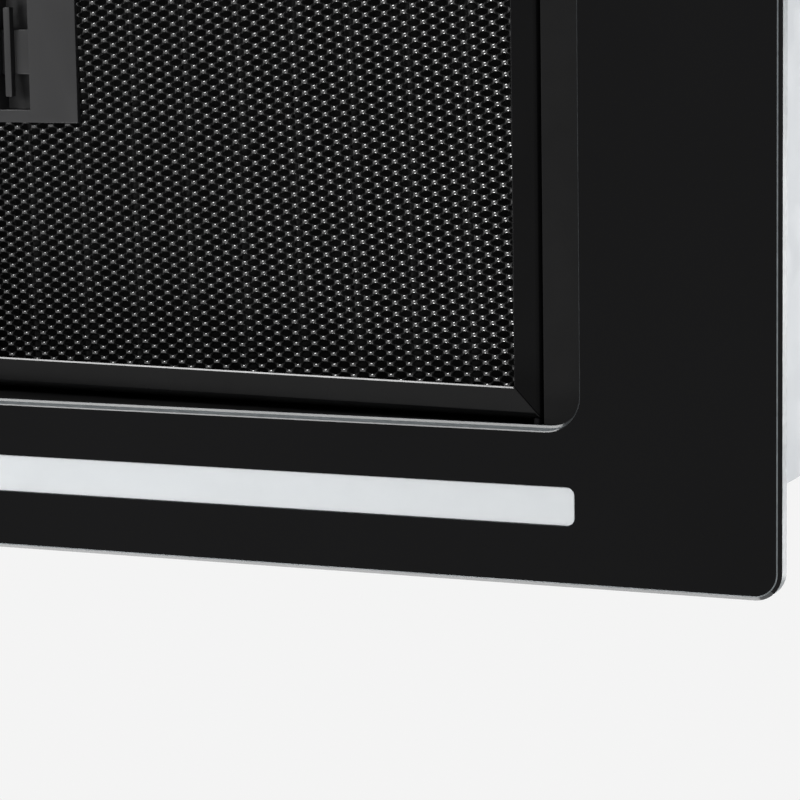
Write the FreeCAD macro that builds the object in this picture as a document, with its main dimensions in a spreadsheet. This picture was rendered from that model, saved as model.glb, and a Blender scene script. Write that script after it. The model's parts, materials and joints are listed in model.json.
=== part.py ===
import FreeCAD, Part
import Sketcher
import math
import os
import re

# Range hood for building into a cabinet: a black glass panel with a light bar and two grease
# filters below, and a sheet metal housing with a blower, a damper and its electronics above.
# Millimetres, +Z up. The origin is the middle of the plane in which the folded edge of the
# filter tray meets the underside of the cabinet. The front of the hood faces -Y.

SIZES = {
    # glass panel
    "panel_width": 570,
    "panel_depth": 300,
    "panel_corner": 6,
    "glass_thickness": 6,
    "panel_bevel": 1.5,
    "opening_bevel": 0.9,
    "back_arris": 0.6,
    "front_margin": 46,
    "opening_corner": 10,
    # bonding tape between the glass and the tray
    "tape_thickness": 1,
    "tape_side_reach": 26,
    "tape_end_reach": 3,
    "tape_width": 6,
    "tape_opening_gap": 4,
    "tape_opening_width": 5,
    # light bar
    "light_end_inset": 1,
    "light_width": 11.5,
    "light_front_gap": 18,
    "light_wall_gap": 1.55,
    "light_corner": 2.5,
    "light_clearance": 0.2,
    "light_recess": 0.2,
    "light_lip": 2.6,
    "sink_width": 16,
    "sink_height": 14,
    "sink_wall": 1.5,
    "end_cap_thickness": 1.5,
    "window_clearance": 0.3,
    "led_board_width": 10,
    "led_board_thickness": 1.2,
    "led_board_end_gap": 3,
    "led_chip_size": 3,
    "led_chip_height": 0.7,
    "led_chip_count": 30,
    "strap_width": 12,
    "strap_sheet": 1.2,
    "strap_foot": 8,
    "strap_offset": 110,
    # touch control behind the glass
    "touch_from_opening": 21,
    "touch_width": 20,
    "touch_length": 90,
    "touch_thickness": 1.2,
    "touch_back": 45,
    "touch_window_gap": 2,
    "touch_chip_size": 7,
    "touch_chip_height": 0.6,
    # filter tray
    "tray_sheet": 1,
    "tray_side_reach": 30,
    "tray_end_reach": 7,
    "hem_width": 5,
    "ledge_width": 13,
    "tray_wall_height": 36,
    "tray_wall_setback": 1,
    # centre bar between the filters
    "bar_width": 12,
    "bar_height": 18,
    "bar_bottom": 16,
    "bar_sheet": 1,
    "bar_slot_play": 0.8,
    # filters
    "filter_thickness": 9,
    "filter_side_gap": 1.5,
    "filter_end_gap": 0.8,
    "filter_inner_gap": 0.9,
    "filter_tilt": 4.7,
    "filter_rise": 11,
    "rail_width": 9.4,
    "rail_wall": 0.8,
    "rail_round": 2,
    "pivot_inset": 2.5,
    "pivot_radius": 1.5,
    "pivot_clearance": 0.05,
    "pivot_overrun": 1.5,
    "mesh_sheet": 0.8,
    "mesh_edge_gap": 4.4,
    "pleat_count": 10,
    "pleat_sheet": 0.8,
    # latches
    "case_length": 34,
    "case_width": 44,
    "case_lug_width": 30,
    "finger_length": 12,
    "finger_width": 36,
    "finger_depth": 6,
    "finger_wall": 4,
    "chamber_length": 15,
    "latch_width": 14,
    "latch_height": 3,
    "latch_level": 0.35,
    "latch_play": 0.15,
    "latch_throw": 4.5,
    "latch_overlap": 0.5,
    "tab_width": 28,
    "tab_thickness": 2.5,
    "tab_from_wall": 2.5,
    "tab_drop": 2.35,
    "spring_radius": 1.5,
    "spring_bore": 1,
    # housing
    "housing_width": 500,
    "housing_depth": 276,
    "housing_height": 225,
    "side_margin": 25.5,
    "rear_margin": 28,
    "housing_sheet": 1,
    "bottom_flange": 20,
    "back_flange": 12,
    "top_flange": 12,
    "flange_gap": 1,
    "screw_radius": 1.75,
    "screw_head_radius": 3.5,
    "screw_head_height": 2.2,
    "screw_length": 6,
    "rivet_radius": 1.6,
    "rivet_head_radius": 3,
    "rivet_head_height": 1.2,
    "rivet_tail_radius": 2.4,
    "rivet_tail_height": 0.8,
    "cabinet_hole_radius": 2.5,
    "cabinet_hole_spread": 190,
    "cabinet_hole_height": 60,
    # spring clips that hold the hood in the cabinet
    "clip_width": 40,
    "clip_sheet": 1,
    "clip_plate": 34,
    "clip_leaf": 24,
    "clip_spread_angle": 28,
    "clip_bend_height": 40,
    # blower
    "blower_back": 92.5,
    "blower_drop": 77,
    "scroll_radius": 75,
    "scroll_step": 8,
    "scroll_width": 100,
    "scroll_wall": 2,
    "scroll_flange": 12,
    "inlet_radius": 50,
    "impeller_radius": 65,
    "impeller_width": 84,
    "blade_inner_radius": 54,
    "blade_thickness": 1,
    "blade_lean": 9,
    "blade_count": 36,
    "impeller_disc": 2,
    "impeller_ring": 5,
    "impeller_ring_height": 2,
    "hub_radius": 10,
    "hub_length": 16,
    "shaft_radius": 4,
    "shaft_clearance": 0.05,
    "motor_radius": 36,
    "motor_length": 60,
    "motor_from_disc": 12,
    "motor_boss_radius": 12,
    "motor_boss_height": 2,
    "shaft_inside_motor": 38,
    "nut_width": 13,
    "nut_height": 6,
    "bracket_thickness": 4,
    "bracket_ring": 6,
    "bracket_arm_width": 12,
    "bracket_reach": 64,
    "grommet_radius": 6,
    "grommet_height": 8,
    "grommet_circle": 57,
    "motor_screw_radius": 2,
    "motor_screw_overrun": 1,
    "guard_ring": 6,
    "guard_thickness": 2,
    "guard_bar": 3,
    # outlet collar and damper
    "collar_radius": 73.5,
    "collar_wall": 2,
    "collar_height": 58,
    "collar_flange_radius": 86,
    "collar_flange_height": 3,
    "damper_height": 12,
    "stop_ring": 5.5,
    "stop_ring_height": 2,
    "flap_thickness": 1.5,
    "flap_edge_gap": 1,
    "flap_seat_gap": 0.3,
    "damper_axis_offset": 4,
    "damper_rod_radius": 1.5,
    "damper_rod_end": 0.5,
    "flap_barrel_radius": 3,
    "flap_barrel_length": 118,
    "collar_screw_circle": 79.5,
    # electronics on top of the housing
    "case_box_length": 150,
    "case_box_depth": 90,
    "case_box_height": 38,
    "case_box_wall": 2,
    "case_box_gap": 1.5,
    "case_box_back": 43,
    "lid_lip": 4,
    "lid_gap": 0.3,
    "board_length": 96,
    "board_depth": 70,
    "board_thickness": 1.6,
    "board_gap": 3,
    "standoff_radius": 3,
    "standoff_height": 6,
    "standoff_inset": 5,
    "transformer_length": 36,
    "transformer_depth": 32,
    "transformer_height": 22,
    "relay_length": 19,
    "relay_depth": 10,
    "relay_height": 15,
    "terminal_length": 34,
    "terminal_depth": 14,
    "terminal_height": 16,
    "capacitor_radius": 11,
    "capacitor_length": 52,
    "gland_radius": 8,
    "gland_flange_radius": 11,
    "gland_flange_height": 5,
    "gland_dome_radius": 9.5,
    "gland_length": 18,
    "gland_cone": 5.4,
    "gland_nose": 2,
    "gland_bore": 4,
    "driver_length": 90,
    "driver_depth": 34,
    "driver_height": 24,
    "driver_ear": 10,
    "driver_ear_height": 3,
    "driver_side_gap": 23,
    "driver_forward": 60,
    # internal cables
    "cable_radius": 3,
    "cable_hole_radius": 3.3,
    "cable_bend": 30,
    "led_cable_drop": 37,
    "motor_cable_inset": 6,
    "motor_cable_end_gap": 4,
}

# Derived places, written as sums of the driving sizes.
LIGHT_Y = "(light_front_gap + light_width / 2 - panel_depth / 2)"
FRONT_Y = f"({LIGHT_Y} - sink_width / 2 - strap_sheet - light_wall_gap - housing_sheet)"
BACK_Y = f"({FRONT_Y} + housing_depth)"
HOUSING_Y = f"({FRONT_Y} + housing_depth / 2)"
OPENING_FRONT = "(front_margin - panel_depth / 2)"
OPENING_REAR = f"({BACK_Y} - rear_margin)"
OPENING_WIDTH = "(housing_width - 2 * side_margin)"
OPENING_DEPTH = f"({OPENING_REAR} - {OPENING_FRONT})"
OPENING_Y = f"(({OPENING_REAR} + {OPENING_FRONT}) / 2)"
GLASS_TOP = "(-tray_sheet - tape_thickness)"
GLASS_BOTTOM = "(-tray_sheet - tape_thickness - glass_thickness)"
LIGHT_LENGTH = f"({OPENING_WIDTH} - 2 * light_end_inset)"
WELL_WIDTH = f"({OPENING_WIDTH} - 2 * ledge_width)"
WELL_DEPTH = f"({OPENING_DEPTH} + 2 * tray_wall_setback)"
PIVOT_X = f"({WELL_WIDTH} / 2 - filter_side_gap - pivot_inset)"
PIVOT_Z = f"({GLASS_BOTTOM} + filter_rise + pivot_inset)"
FILTER_LENGTH = f"({PIVOT_X} - bar_width / 2 - filter_inner_gap + pivot_inset)"
FILTER_DEPTH = f"({OPENING_DEPTH} - 2 * filter_end_gap)"
FILTER_END = f"({FILTER_LENGTH} - pivot_inset)"
LIP_EDGE = f"({FILTER_END} - rail_width)"
LATCH_MIDDLE = "(latch_level + latch_height / 2)"
TOP_UNDERSIDE = "(housing_height - housing_sheet)"
WALL_X = "(housing_width / 2 - housing_sheet)"
WALL_Y = "(housing_depth / 2 - housing_sheet)"
BLOWER_Y = f"({BACK_Y} - blower_back)"
BLOWER_Z = f"({TOP_UNDERSIDE} - blower_drop)"
OUTLET_DEPTH = "(scroll_radius + 3 * scroll_step)"
OUTLET_Y = f"({BLOWER_Y} + scroll_step / 2 - {OUTLET_DEPTH} / 2)"
DAMPER_Z = "(housing_height + damper_height)"
COLLAR_BORE = "(collar_radius - collar_wall)"
STOP_TOP = f"({DAMPER_Z} - flap_thickness / 2 - flap_seat_gap)"
TOP_SCREW_X = f"({WALL_X} - top_flange / 2)"
TOP_SCREW_Y = f"({WALL_Y} - top_flange / 2)"
BOX_LEFT = f"(screw_head_radius + case_box_gap - {TOP_SCREW_X})"
BOX_X = f"({BOX_LEFT} + case_box_depth / 2)"
BOX_REAR = f"({BACK_Y} - case_box_back)"
BOX_Y = f"({BOX_REAR} - case_box_length / 2)"
BOX_FLOOR = "(housing_height + case_box_wall)"
BOARD_X = f"({BOX_LEFT} + case_box_wall + board_gap + board_depth / 2)"
BOARD_Y = f"({BOX_REAR} - case_box_wall - board_gap - board_length / 2)"
BOARD_TOP = f"({BOX_FLOOR} + standoff_height + board_thickness)"
DRIVER_X = f"({TOP_SCREW_X} - driver_side_gap - driver_ear - driver_length / 2)"
DRIVER_Y = f"({HOUSING_Y} - driver_forward)"
MOTOR_END = "(-motor_from_disc - motor_length)"
BRACKET_X = "(-scroll_width / 2 - grommet_height - bracket_thickness)"
ALWAYS_THROUGH = "(panel_width)"
TOP_SCREW_SHARES = (-0.36, 0, 0.36)
RIVET_SHARES = (-0.4, 0.08, 0.4)
SCROLL_SCREW_SHARE = 0.3
RELAY_SHARES = (0.08, 0.23, 0.38)

TURN_TO = {"x": ("0; 1; 0", "90"), "y": ("1; 0; 0", "-90"), "z": ("0; 0; 1", "0")}

doc = FreeCAD.newDocument("range_hood")
sheet = doc.addObject("Spreadsheet::Sheet", "sizes")
pieces = []
screw_solids = []


def fill_sheet():
    """Write every driving size into the spreadsheet, with its name as the alias."""
    for row, (name, number) in enumerate(SIZES.items(), start=1):
        sheet.set(f"A{row}", name)
        sheet.set(f"B{row}", str(number))
        sheet.setAlias(f"B{row}", name)
    doc.recompute()


def in_sheet(text):
    """Point each size name in an expression at its spreadsheet cell."""
    def cell(match):
        name = match.group()
        return f"sizes.{name}" if name in SIZES else name
    return re.sub(r"(?<![.\w])[a-z_]{2,}", cell, str(text))


def value(text):
    """The number that an expression of sizes comes to."""
    result = sheet.evalExpression(in_sheet(text))
    return float(getattr(result, "Value", result))


def bind(obj, prop, text):
    """Tie a property of an object to the spreadsheet."""
    obj.setExpression(prop, in_sheet(text))


def at(x, y, z, axis="0; 0; 1", angle="0"):
    """A placement: a turn about an axis, then a move."""
    return f"placement(vector({x}; {y}; {z}); rotation(vector({axis}); {angle}))"


def seat(obj, *frames):
    """Place an object by the product of the frames, outermost first."""
    bind(obj, "Placement", " * ".join(frames))
    return obj


def box(name, size, low, *frames):
    """A box from its low corner."""
    obj = doc.addObject("Part::Box", name)
    for prop, text in zip(("Length", "Width", "Height"), size):
        bind(obj, prop, text)
    return seat(obj, *frames, at(*low))


def block(name, size, foot, *frames):
    """A box centred on its foot point in X and Y and standing on it."""
    low = (f"({foot[0]}) - ({size[0]}) / 2", f"({foot[1]}) - ({size[1]}) / 2", foot[2])
    return box(name, size, low, *frames)


def rod(name, radius, length, start, axis="z", *frames):
    """A round bar that runs from its start point along an axis."""
    obj = doc.addObject("Part::Cylinder", name)
    bind(obj, "Radius", radius)
    bind(obj, "Height", length)
    return seat(obj, *frames, at(*start, *TURN_TO[axis]))


def fuse(name, *parts):
    """Join several shapes to one."""
    obj = doc.addObject("Part::MultiFuse", name)
    obj.Shapes = list(parts)
    return obj


def group(name, parts):
    """Keep several separate solids together."""
    obj = doc.addObject("Part::Compound", name)
    obj.Links = list(parts)
    return obj


def cut(name, base, *tools):
    """Take the tools away from the base."""
    obj = doc.addObject("Part::Cut", name)
    obj.Base = base
    obj.Tool = tools[0] if len(tools) == 1 else fuse(f"{name}_tools", *tools)
    return obj


def common(name, base, tool):
    """What two shapes share."""
    obj = doc.addObject("Part::Common", name)
    obj.Base = base
    obj.Tool = tool
    return obj


def piece(obj, label):
    """Name an object as a piece, and set it down from the tray's top to the plane of its hem."""
    obj.Label = label
    own = [text for prop, text in obj.ExpressionEngine if prop == "Placement"]
    bind(obj, "Placement", " * ".join([at("0", "0", "-tray_sheet"), *own]))
    pieces.append(obj)
    return obj


def new_body(name):
    """An empty body."""
    return doc.addObject("PartDesign::Body", name)


def origin_part(body, role):
    """A plane or axis of the body's own origin."""
    return [feature for feature in body.Origin.OriginFeatures if feature.Role == role][0]


def new_sketch(body, name, plane="XY_Plane", height="0"):
    """An empty sketch, parallel to an origin plane and at a height above it."""
    sketch = body.newObject("Sketcher::SketchObject", name)
    sketch.AttachmentSupport = [(origin_part(body, plane), "")]
    sketch.MapMode = "FlatFace"
    bind(sketch, "AttachmentOffset.Base.z", height)
    return sketch


def pin_point(sketch, geometry, position, x, y):
    """Hold a point of a sketch at the given place."""
    for kind, text, axis in (("DistanceX", x, -2), ("DistanceY", y, -1)):
        if text == "0":
            sketch.addConstraint(Sketcher.Constraint("PointOnObject", geometry, position, axis))
            continue
        rule = Sketcher.Constraint(kind, -1, 1, geometry, position, value(text))
        index = sketch.addConstraint(rule)
        bind(sketch, f"Constraints[{index}]", text)


def polygon(sketch, corners):
    """A closed outline of straight lines through the corners."""
    points = [FreeCAD.Vector(value(x), value(y), 0) for x, y in corners]
    first = sketch.GeometryCount
    for start, end in zip(points, points[1:] + points[:1]):
        sketch.addGeometry(Part.LineSegment(start, end), False)
    for index in range(len(points)):
        following = first + (index + 1) % len(points)
        sketch.addConstraint(Sketcher.Constraint("Coincident", first + index, 2, following, 1))
    for index, (x, y) in enumerate(corners):
        pin_point(sketch, first + index, 1, x, y)
    return sketch


def rectangle(sketch, width, depth, x="0", y="0"):
    """A rectangle about a middle point."""
    left, right = f"({x}) - ({width}) / 2", f"({x}) + ({width}) / 2"
    front, rear = f"({y}) - ({depth}) / 2", f"({y}) + ({depth}) / 2"
    return polygon(sketch, [(left, front), (right, front), (right, rear), (left, rear)])


def circle(sketch, radius, x="0", y="0"):
    """A circle about a middle point."""
    middle = FreeCAD.Vector(value(x), value(y), 0)
    index = sketch.addGeometry(Part.Circle(middle, FreeCAD.Vector(0, 0, 1), value(radius)), False)
    pin_point(sketch, index, 3, x, y)
    rule = sketch.addConstraint(Sketcher.Constraint("Radius", index, value(radius)))
    bind(sketch, f"Constraints[{rule}]", radius)
    return sketch


def pad(body, name, sketch, length, sides="One side"):
    """Raise a sketch to a solid."""
    feature = body.newObject("PartDesign::Pad", name)
    feature.Profile = sketch
    feature.SideType = sides
    bind(feature, "Length", length)
    doc.recompute()
    return feature


def pocket(body, name, sketch):
    """Cut a sketch right through the body."""
    feature = body.newObject("PartDesign::Pocket", name)
    feature.Profile = sketch
    feature.SideType = "Symmetric"
    feature.Type = "ThroughAll"
    doc.recompute()
    return feature


def revolve(body, name, sketch):
    """Turn a sketch about its own upright axis."""
    feature = body.newObject("PartDesign::Revolution", name)
    feature.Profile = sketch
    feature.ReferenceAxis = (sketch, ["V_Axis"])
    feature.Angle = 360
    doc.recompute()
    return feature


def soften(body, name, kind, prop, size, chosen):
    """Round or bevel the edges of a body that the test chooses."""
    tip = body.Tip
    edges = [f"Edge{i}" for i, edge in enumerate(tip.Shape.Edges, start=1) if chosen(edge)]
    feature = body.newObject(kind, name)
    feature.Base = (tip, edges)
    bind(feature, prop, size)
    doc.recompute()
    return feature


def upright_at(x, y):
    """A test for upright edges at the corners of a rectangle about a point."""
    def chosen(edge):
        box_of = edge.BoundBox
        straight = box_of.XLength + box_of.YLength < 1e-4
        return straight and abs(abs(box_of.XMin) - x) < 1e-3 and any(abs(box_of.YMin - v) < 1e-3 for v in y)
    return chosen


def level_within(z, half_width, half_depth, y_middle):
    """A test for edges at one height that belong to the loop of a given outer size."""
    def chosen(edge):
        box_of = edge.BoundBox
        if abs(box_of.ZMin - z) > 1e-4 or abs(box_of.ZMax - z) > 1e-4:
            return False
        on_side = max(abs(box_of.XMin), abs(box_of.XMax)) > half_width - 1e-3
        reach = max(abs(box_of.YMin - y_middle), abs(box_of.YMax - y_middle))
        on_end = reach > half_depth - 1e-3
        beyond = max(abs(box_of.XMin), abs(box_of.XMax)) > half_width + 1e-3 or reach > half_depth + 1e-3
        return (on_side or on_end) and not beyond
    return chosen


def add_screws(name, places, top):
    """Pan head screws whose heads sit on a face; all of them are of one kind and share a group."""
    for index, (x, y) in enumerate(places):
        shank = rod(f"{name}_shank{index}", "screw_radius", "screw_length", (x, y, f"{top} - screw_length"))
        head = rod(f"{name}_head{index}", "screw_head_radius", "screw_head_height", (x, y, top))
        screw_solids.append(fuse(f"{name}_screw{index}", shank, head))


def drill(name, radius, places, low, high):
    """Upright round tools for a set of holes."""
    made = [rod(f"{name}{i}", radius, f"{high} - ({low})", (x, y, low)) for i, (x, y) in enumerate(places)]
    return fuse(name, *made)


TOP_SCREWS = [(f"{s} * {TOP_SCREW_X}", f"{HOUSING_Y} + {share} * housing_depth")
              for s in (-1, 1) for share in TOP_SCREW_SHARES]
TOP_SCREWS += [(f"{s} * housing_width / 4", f"{HOUSING_Y} + {e} * {TOP_SCREW_Y}")
               for s in (-1, 1) for e in (-1, 1)]
TAPE_EDGE = f"({OPENING_WIDTH} / 2 + tape_opening_gap + tape_opening_width)"
RIVETS = [(f"{s} * ({TAPE_EDGE} + {WALL_X}) / 2", f"{HOUSING_Y} + {share} * housing_depth")
          for s in (-1, 1) for share in RIVET_SHARES]
COLLAR_SCREWS = [(f"{a} * collar_screw_circle * sqrt(0.5)",
                  f"{OUTLET_Y} + {b} * collar_screw_circle * sqrt(0.5)")
                 for a in (-1, 1) for b in (-1, 1)]
SCROLL_SCREWS = [(f"{a} * scroll_width * {SCROLL_SCREW_SHARE}",
                  f"{OUTLET_Y} + {b} * ({OUTLET_DEPTH} + scroll_flange) / 2")
                 for a in (-1, 1) for b in (-1, 1)]
DRIVER_SCREWS = [(f"{DRIVER_X} + {s} * (driver_length + driver_ear) / 2", DRIVER_Y) for s in (-1, 1)]
LED_CABLE_TOP = (DRIVER_X, DRIVER_Y)
MOTOR_CABLE_TOP = (f"({BOX_LEFT} + case_box_depth - case_box_wall - motor_cable_inset)", BLOWER_Y)


def make_glass():
    """Black glass with bevelled edges, the filter opening and the slot for the light bar."""
    body = new_body("glass_body")
    pad(body, "glass_sheet", rectangle(new_sketch(body, "glass_outline", height=GLASS_BOTTOM),
                                       "panel_width", "panel_depth"), "glass_thickness")
    pocket(body, "glass_opening", rectangle(new_sketch(body, "opening_outline", height=GLASS_BOTTOM),
                                            OPENING_WIDTH, OPENING_DEPTH, "0", OPENING_Y))
    pocket(body, "glass_slot", rectangle(new_sketch(body, "slot_outline", height=GLASS_BOTTOM),
                                         LIGHT_LENGTH, "light_width", "0", LIGHT_Y))
    low, high = value(GLASS_BOTTOM), value(GLASS_TOP)
    half_w, half_d = value("panel_width / 2"), value("panel_depth / 2")
    open_w, open_d = value(f"{OPENING_WIDTH} / 2"), value(f"{OPENING_DEPTH} / 2")
    open_y, slot_y = value(OPENING_Y), value(LIGHT_Y)
    slot_w, slot_d = value(f"{LIGHT_LENGTH} / 2"), value("light_width / 2")
    rounds = (("panel_round", "panel_corner", half_w, half_d, 0),
              ("opening_round", "opening_corner", open_w, open_d, open_y),
              ("slot_round", "light_corner", slot_w, slot_d, slot_y))
    for name, size, x, y, middle in rounds:
        soften(body, name, "PartDesign::Fillet", "Radius", size,
               upright_at(x, (middle - y, middle + y)))
    bevels = (("panel_front_bevel", "panel_bevel", low, half_w, half_d, 0),
              ("opening_front_bevel", "opening_bevel", low, open_w, open_d, open_y),
              ("panel_back_bevel", "back_arris", high, half_w, half_d, 0),
              ("opening_back_bevel", "back_arris", high, open_w, open_d, open_y))
    for name, size, z, x, y, middle in bevels:
        soften(body, name, "PartDesign::Chamfer", "Size", size, level_within(z, x, y, middle))
    piece(body, "glass_panel")


def make_tape():
    """Two rings of bonding tape: one near the rim of the glass and one round the opening."""
    rings = []
    near_rim = ("housing_width + 2 * tape_side_reach", "housing_depth + 2 * tape_end_reach")
    near_opening = (f"2 * {TAPE_EDGE}", f"{OPENING_DEPTH} + 2 * (tape_opening_gap + tape_opening_width)")
    sizes = ((near_rim, "tape_width", HOUSING_Y), (near_opening, "tape_opening_width", OPENING_Y))
    for index, ((width, depth), band, y) in enumerate(sizes):
        room = (f"{width} - 2 * {band}", f"{depth} - 2 * {band}", "tape_thickness")
        outer = block(f"tape_outer{index}", (width, depth, "tape_thickness"), ("0", y, GLASS_TOP))
        inner = block(f"tape_inner{index}", room, ("0", y, GLASS_TOP))
        rings.append(cut(f"tape_ring{index}", outer, inner))
    piece(group("tape_rings", rings), "glass_bond_tape")


def make_tray():
    """Sheet metal tray that carries the glass, with a folded edge and walls round the filter well."""
    width, depth = "(housing_width + 2 * tray_side_reach)", "(housing_depth + 2 * tray_end_reach)"
    plate = block("tray_plate", (width, depth, "2 * tray_sheet"), ("0", HOUSING_Y, "-tray_sheet"))
    inside = block("tray_inside_hem", (f"{width} - 2 * hem_width", f"{depth} - 2 * hem_width", "tray_sheet"),
                   ("0", HOUSING_Y, "0"))
    plate = cut("tray_hemmed", plate, inside)
    walls = block("tray_walls", (f"{WELL_WIDTH} + 2 * tray_sheet", f"{WELL_DEPTH} + 2 * tray_sheet",
                                 "tray_wall_height + tray_sheet"), ("0", OPENING_Y, "-tray_sheet"))
    well = block("tray_well", (WELL_WIDTH, WELL_DEPTH, "2 * tray_wall_height"),
                 ("0", OPENING_Y, "-tray_wall_height / 2"))
    light = block("tray_light_window", (f"{LIGHT_LENGTH} + 2 * (end_cap_thickness + window_clearance)",
                                        "sink_width + 2 * window_clearance", "4 * tray_sheet"),
                  ("0", LIGHT_Y, "-2 * tray_sheet"))
    touch = block("tray_touch_window", ("touch_width + touch_window_gap", "touch_length + touch_window_gap",
                                        "4 * tray_sheet"),
                  (f"{OPENING_WIDTH} / 2 + touch_from_opening", "-touch_back", "-2 * tray_sheet"))
    rivets = drill("tray_rivet_holes", "rivet_radius", RIVETS, "-2 * tray_sheet", "tray_sheet")
    pivots = [rod(f"tray_pivot_hole{s}", "pivot_radius + pivot_clearance", ALWAYS_THROUGH,
                  (f"{s} * {PIVOT_X}", f"-{ALWAYS_THROUGH} / 2", PIVOT_Z), "y") for s in (-1, 1)]
    folded = fuse("tray_sheet_metal", plate, walls)
    piece(cut("tray", folded, well, light, touch, rivets, *pivots), "filter_tray")


def make_bar():
    """Channel across the well that carries the inner ends of both filters, with latch slots."""
    outer = block("bar_outer", ("bar_width", WELL_DEPTH, "bar_height"), ("0", OPENING_Y, "bar_bottom"))
    inner = block("bar_inner", ("bar_width - 2 * bar_sheet", WELL_DEPTH, "bar_height"),
                  ("0", OPENING_Y, "bar_bottom + bar_sheet"))
    level = f"{PIVOT_Z} + {FILTER_LENGTH} * sin(filter_tilt) + {LATCH_MIDDLE} * cos(filter_tilt)"
    slot_height = "(latch_height + 2 * bar_slot_play)"
    slot = block("bar_slot", ("2 * bar_width", "latch_width + 2 * bar_slot_play", slot_height),
                 ("0", OPENING_Y, f"{level} - {slot_height} / 2"))
    piece(cut("bar", outer, inner, slot), "centre_bar")


def make_light():
    """Opal light bar in the glass with its heat sink, end caps, straps, board and light chips."""
    body = new_body("diffuser_body")
    bar_length, bar_width = f"{LIGHT_LENGTH} - 2 * light_clearance", "light_width - 2 * light_clearance"
    sketch = rectangle(new_sketch(body, "diffuser_bar_outline", height=f"{GLASS_BOTTOM} + light_recess"),
                       bar_length, bar_width, "0", LIGHT_Y)
    pad(body, "diffuser_bar", sketch, "glass_thickness - light_recess")
    half_x = value(f"({bar_length}) / 2")
    half_y = value(f"({bar_width}) / 2")
    soften(body, "diffuser_round", "PartDesign::Fillet", "Radius", "light_corner - light_clearance",
           upright_at(half_x, (value(LIGHT_Y) - half_y, value(LIGHT_Y) + half_y)))
    sketch = rectangle(new_sketch(body, "diffuser_lip_outline", height=GLASS_TOP),
                       f"{LIGHT_LENGTH} + 2 * end_cap_thickness", "light_width + 2 * light_lip", "0", LIGHT_Y)
    pad(body, "diffuser_lip", sketch, "tape_thickness")
    piece(body, "light_diffuser")

    sink_top = "(sink_height - tray_sheet)"
    outer = block("sink_outer", (LIGHT_LENGTH, "sink_width", "sink_height"), ("0", LIGHT_Y, "-tray_sheet"))
    inner = block("sink_channel", (LIGHT_LENGTH, "sink_width - 2 * sink_wall", "sink_height - sink_wall"),
                  ("0", LIGHT_Y, "-tray_sheet"))
    piece(cut("sink", outer, inner), "led_heat_sink")
    caps = [block(f"light_cap{s}", ("end_cap_thickness", "sink_width", "sink_height"),
                  (f"{s} * ({LIGHT_LENGTH} + end_cap_thickness) / 2", LIGHT_Y, "-tray_sheet")) for s in (-1, 1)]
    piece(group("light_caps", caps), "light_end_caps")

    board_low = f"({sink_top} - sink_wall - led_board_thickness)"
    board_length = f"({LIGHT_LENGTH} - 2 * led_board_end_gap)"
    board = block("light_board", (board_length, "led_board_width", "led_board_thickness"),
                  ("0", LIGHT_Y, board_low))
    count = int(value("led_chip_count"))
    chips = [block(f"light_chip{i}", ("led_chip_size", "led_chip_size", "led_chip_height"),
                   (f"{board_length} * ({i + 0.5} / led_chip_count - 0.5)", LIGHT_Y,
                    f"{board_low} - led_chip_height"))
             for i in range(count)]
    piece(group("light_board_with_chips", [board, *chips]), "led_board")

    straps = []
    for s in (-1, 1):
        x = f"{s} * strap_offset"
        size = ("strap_width", "sink_width + 2 * strap_sheet", f"{sink_top} + strap_sheet")
        over = block(f"strap_over{s}", size, (x, LIGHT_Y, "0"))
        room = block(f"strap_room{s}", ("strap_width", "sink_width", sink_top), (x, LIGHT_Y, "0"))
        foot = box(f"strap_foot{s}", ("strap_width", "strap_foot", "strap_sheet"),
                   (f"{x} - strap_width / 2", f"{LIGHT_Y} + sink_width / 2 + strap_sheet", "0"))
        straps.append(fuse(f"strap{s}", cut(f"strap_arch{s}", over, room), foot))
    piece(group("straps", straps), "led_straps")


def make_touch_control():
    """Touch sensor board bonded to the back of the glass, with its controller chip."""
    x = f"{OPENING_WIDTH} / 2 + touch_from_opening"
    board = block("touch_sheet", ("touch_width", "touch_length", "touch_thickness"),
                  (x, "-touch_back", GLASS_TOP))
    chip = block("touch_controller", ("touch_chip_size", "touch_chip_size", "touch_chip_height"),
                 (x, "-touch_back", f"{GLASS_TOP} + touch_thickness"))
    piece(fuse("touch_sensor", board, chip), "touch_board")


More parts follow.
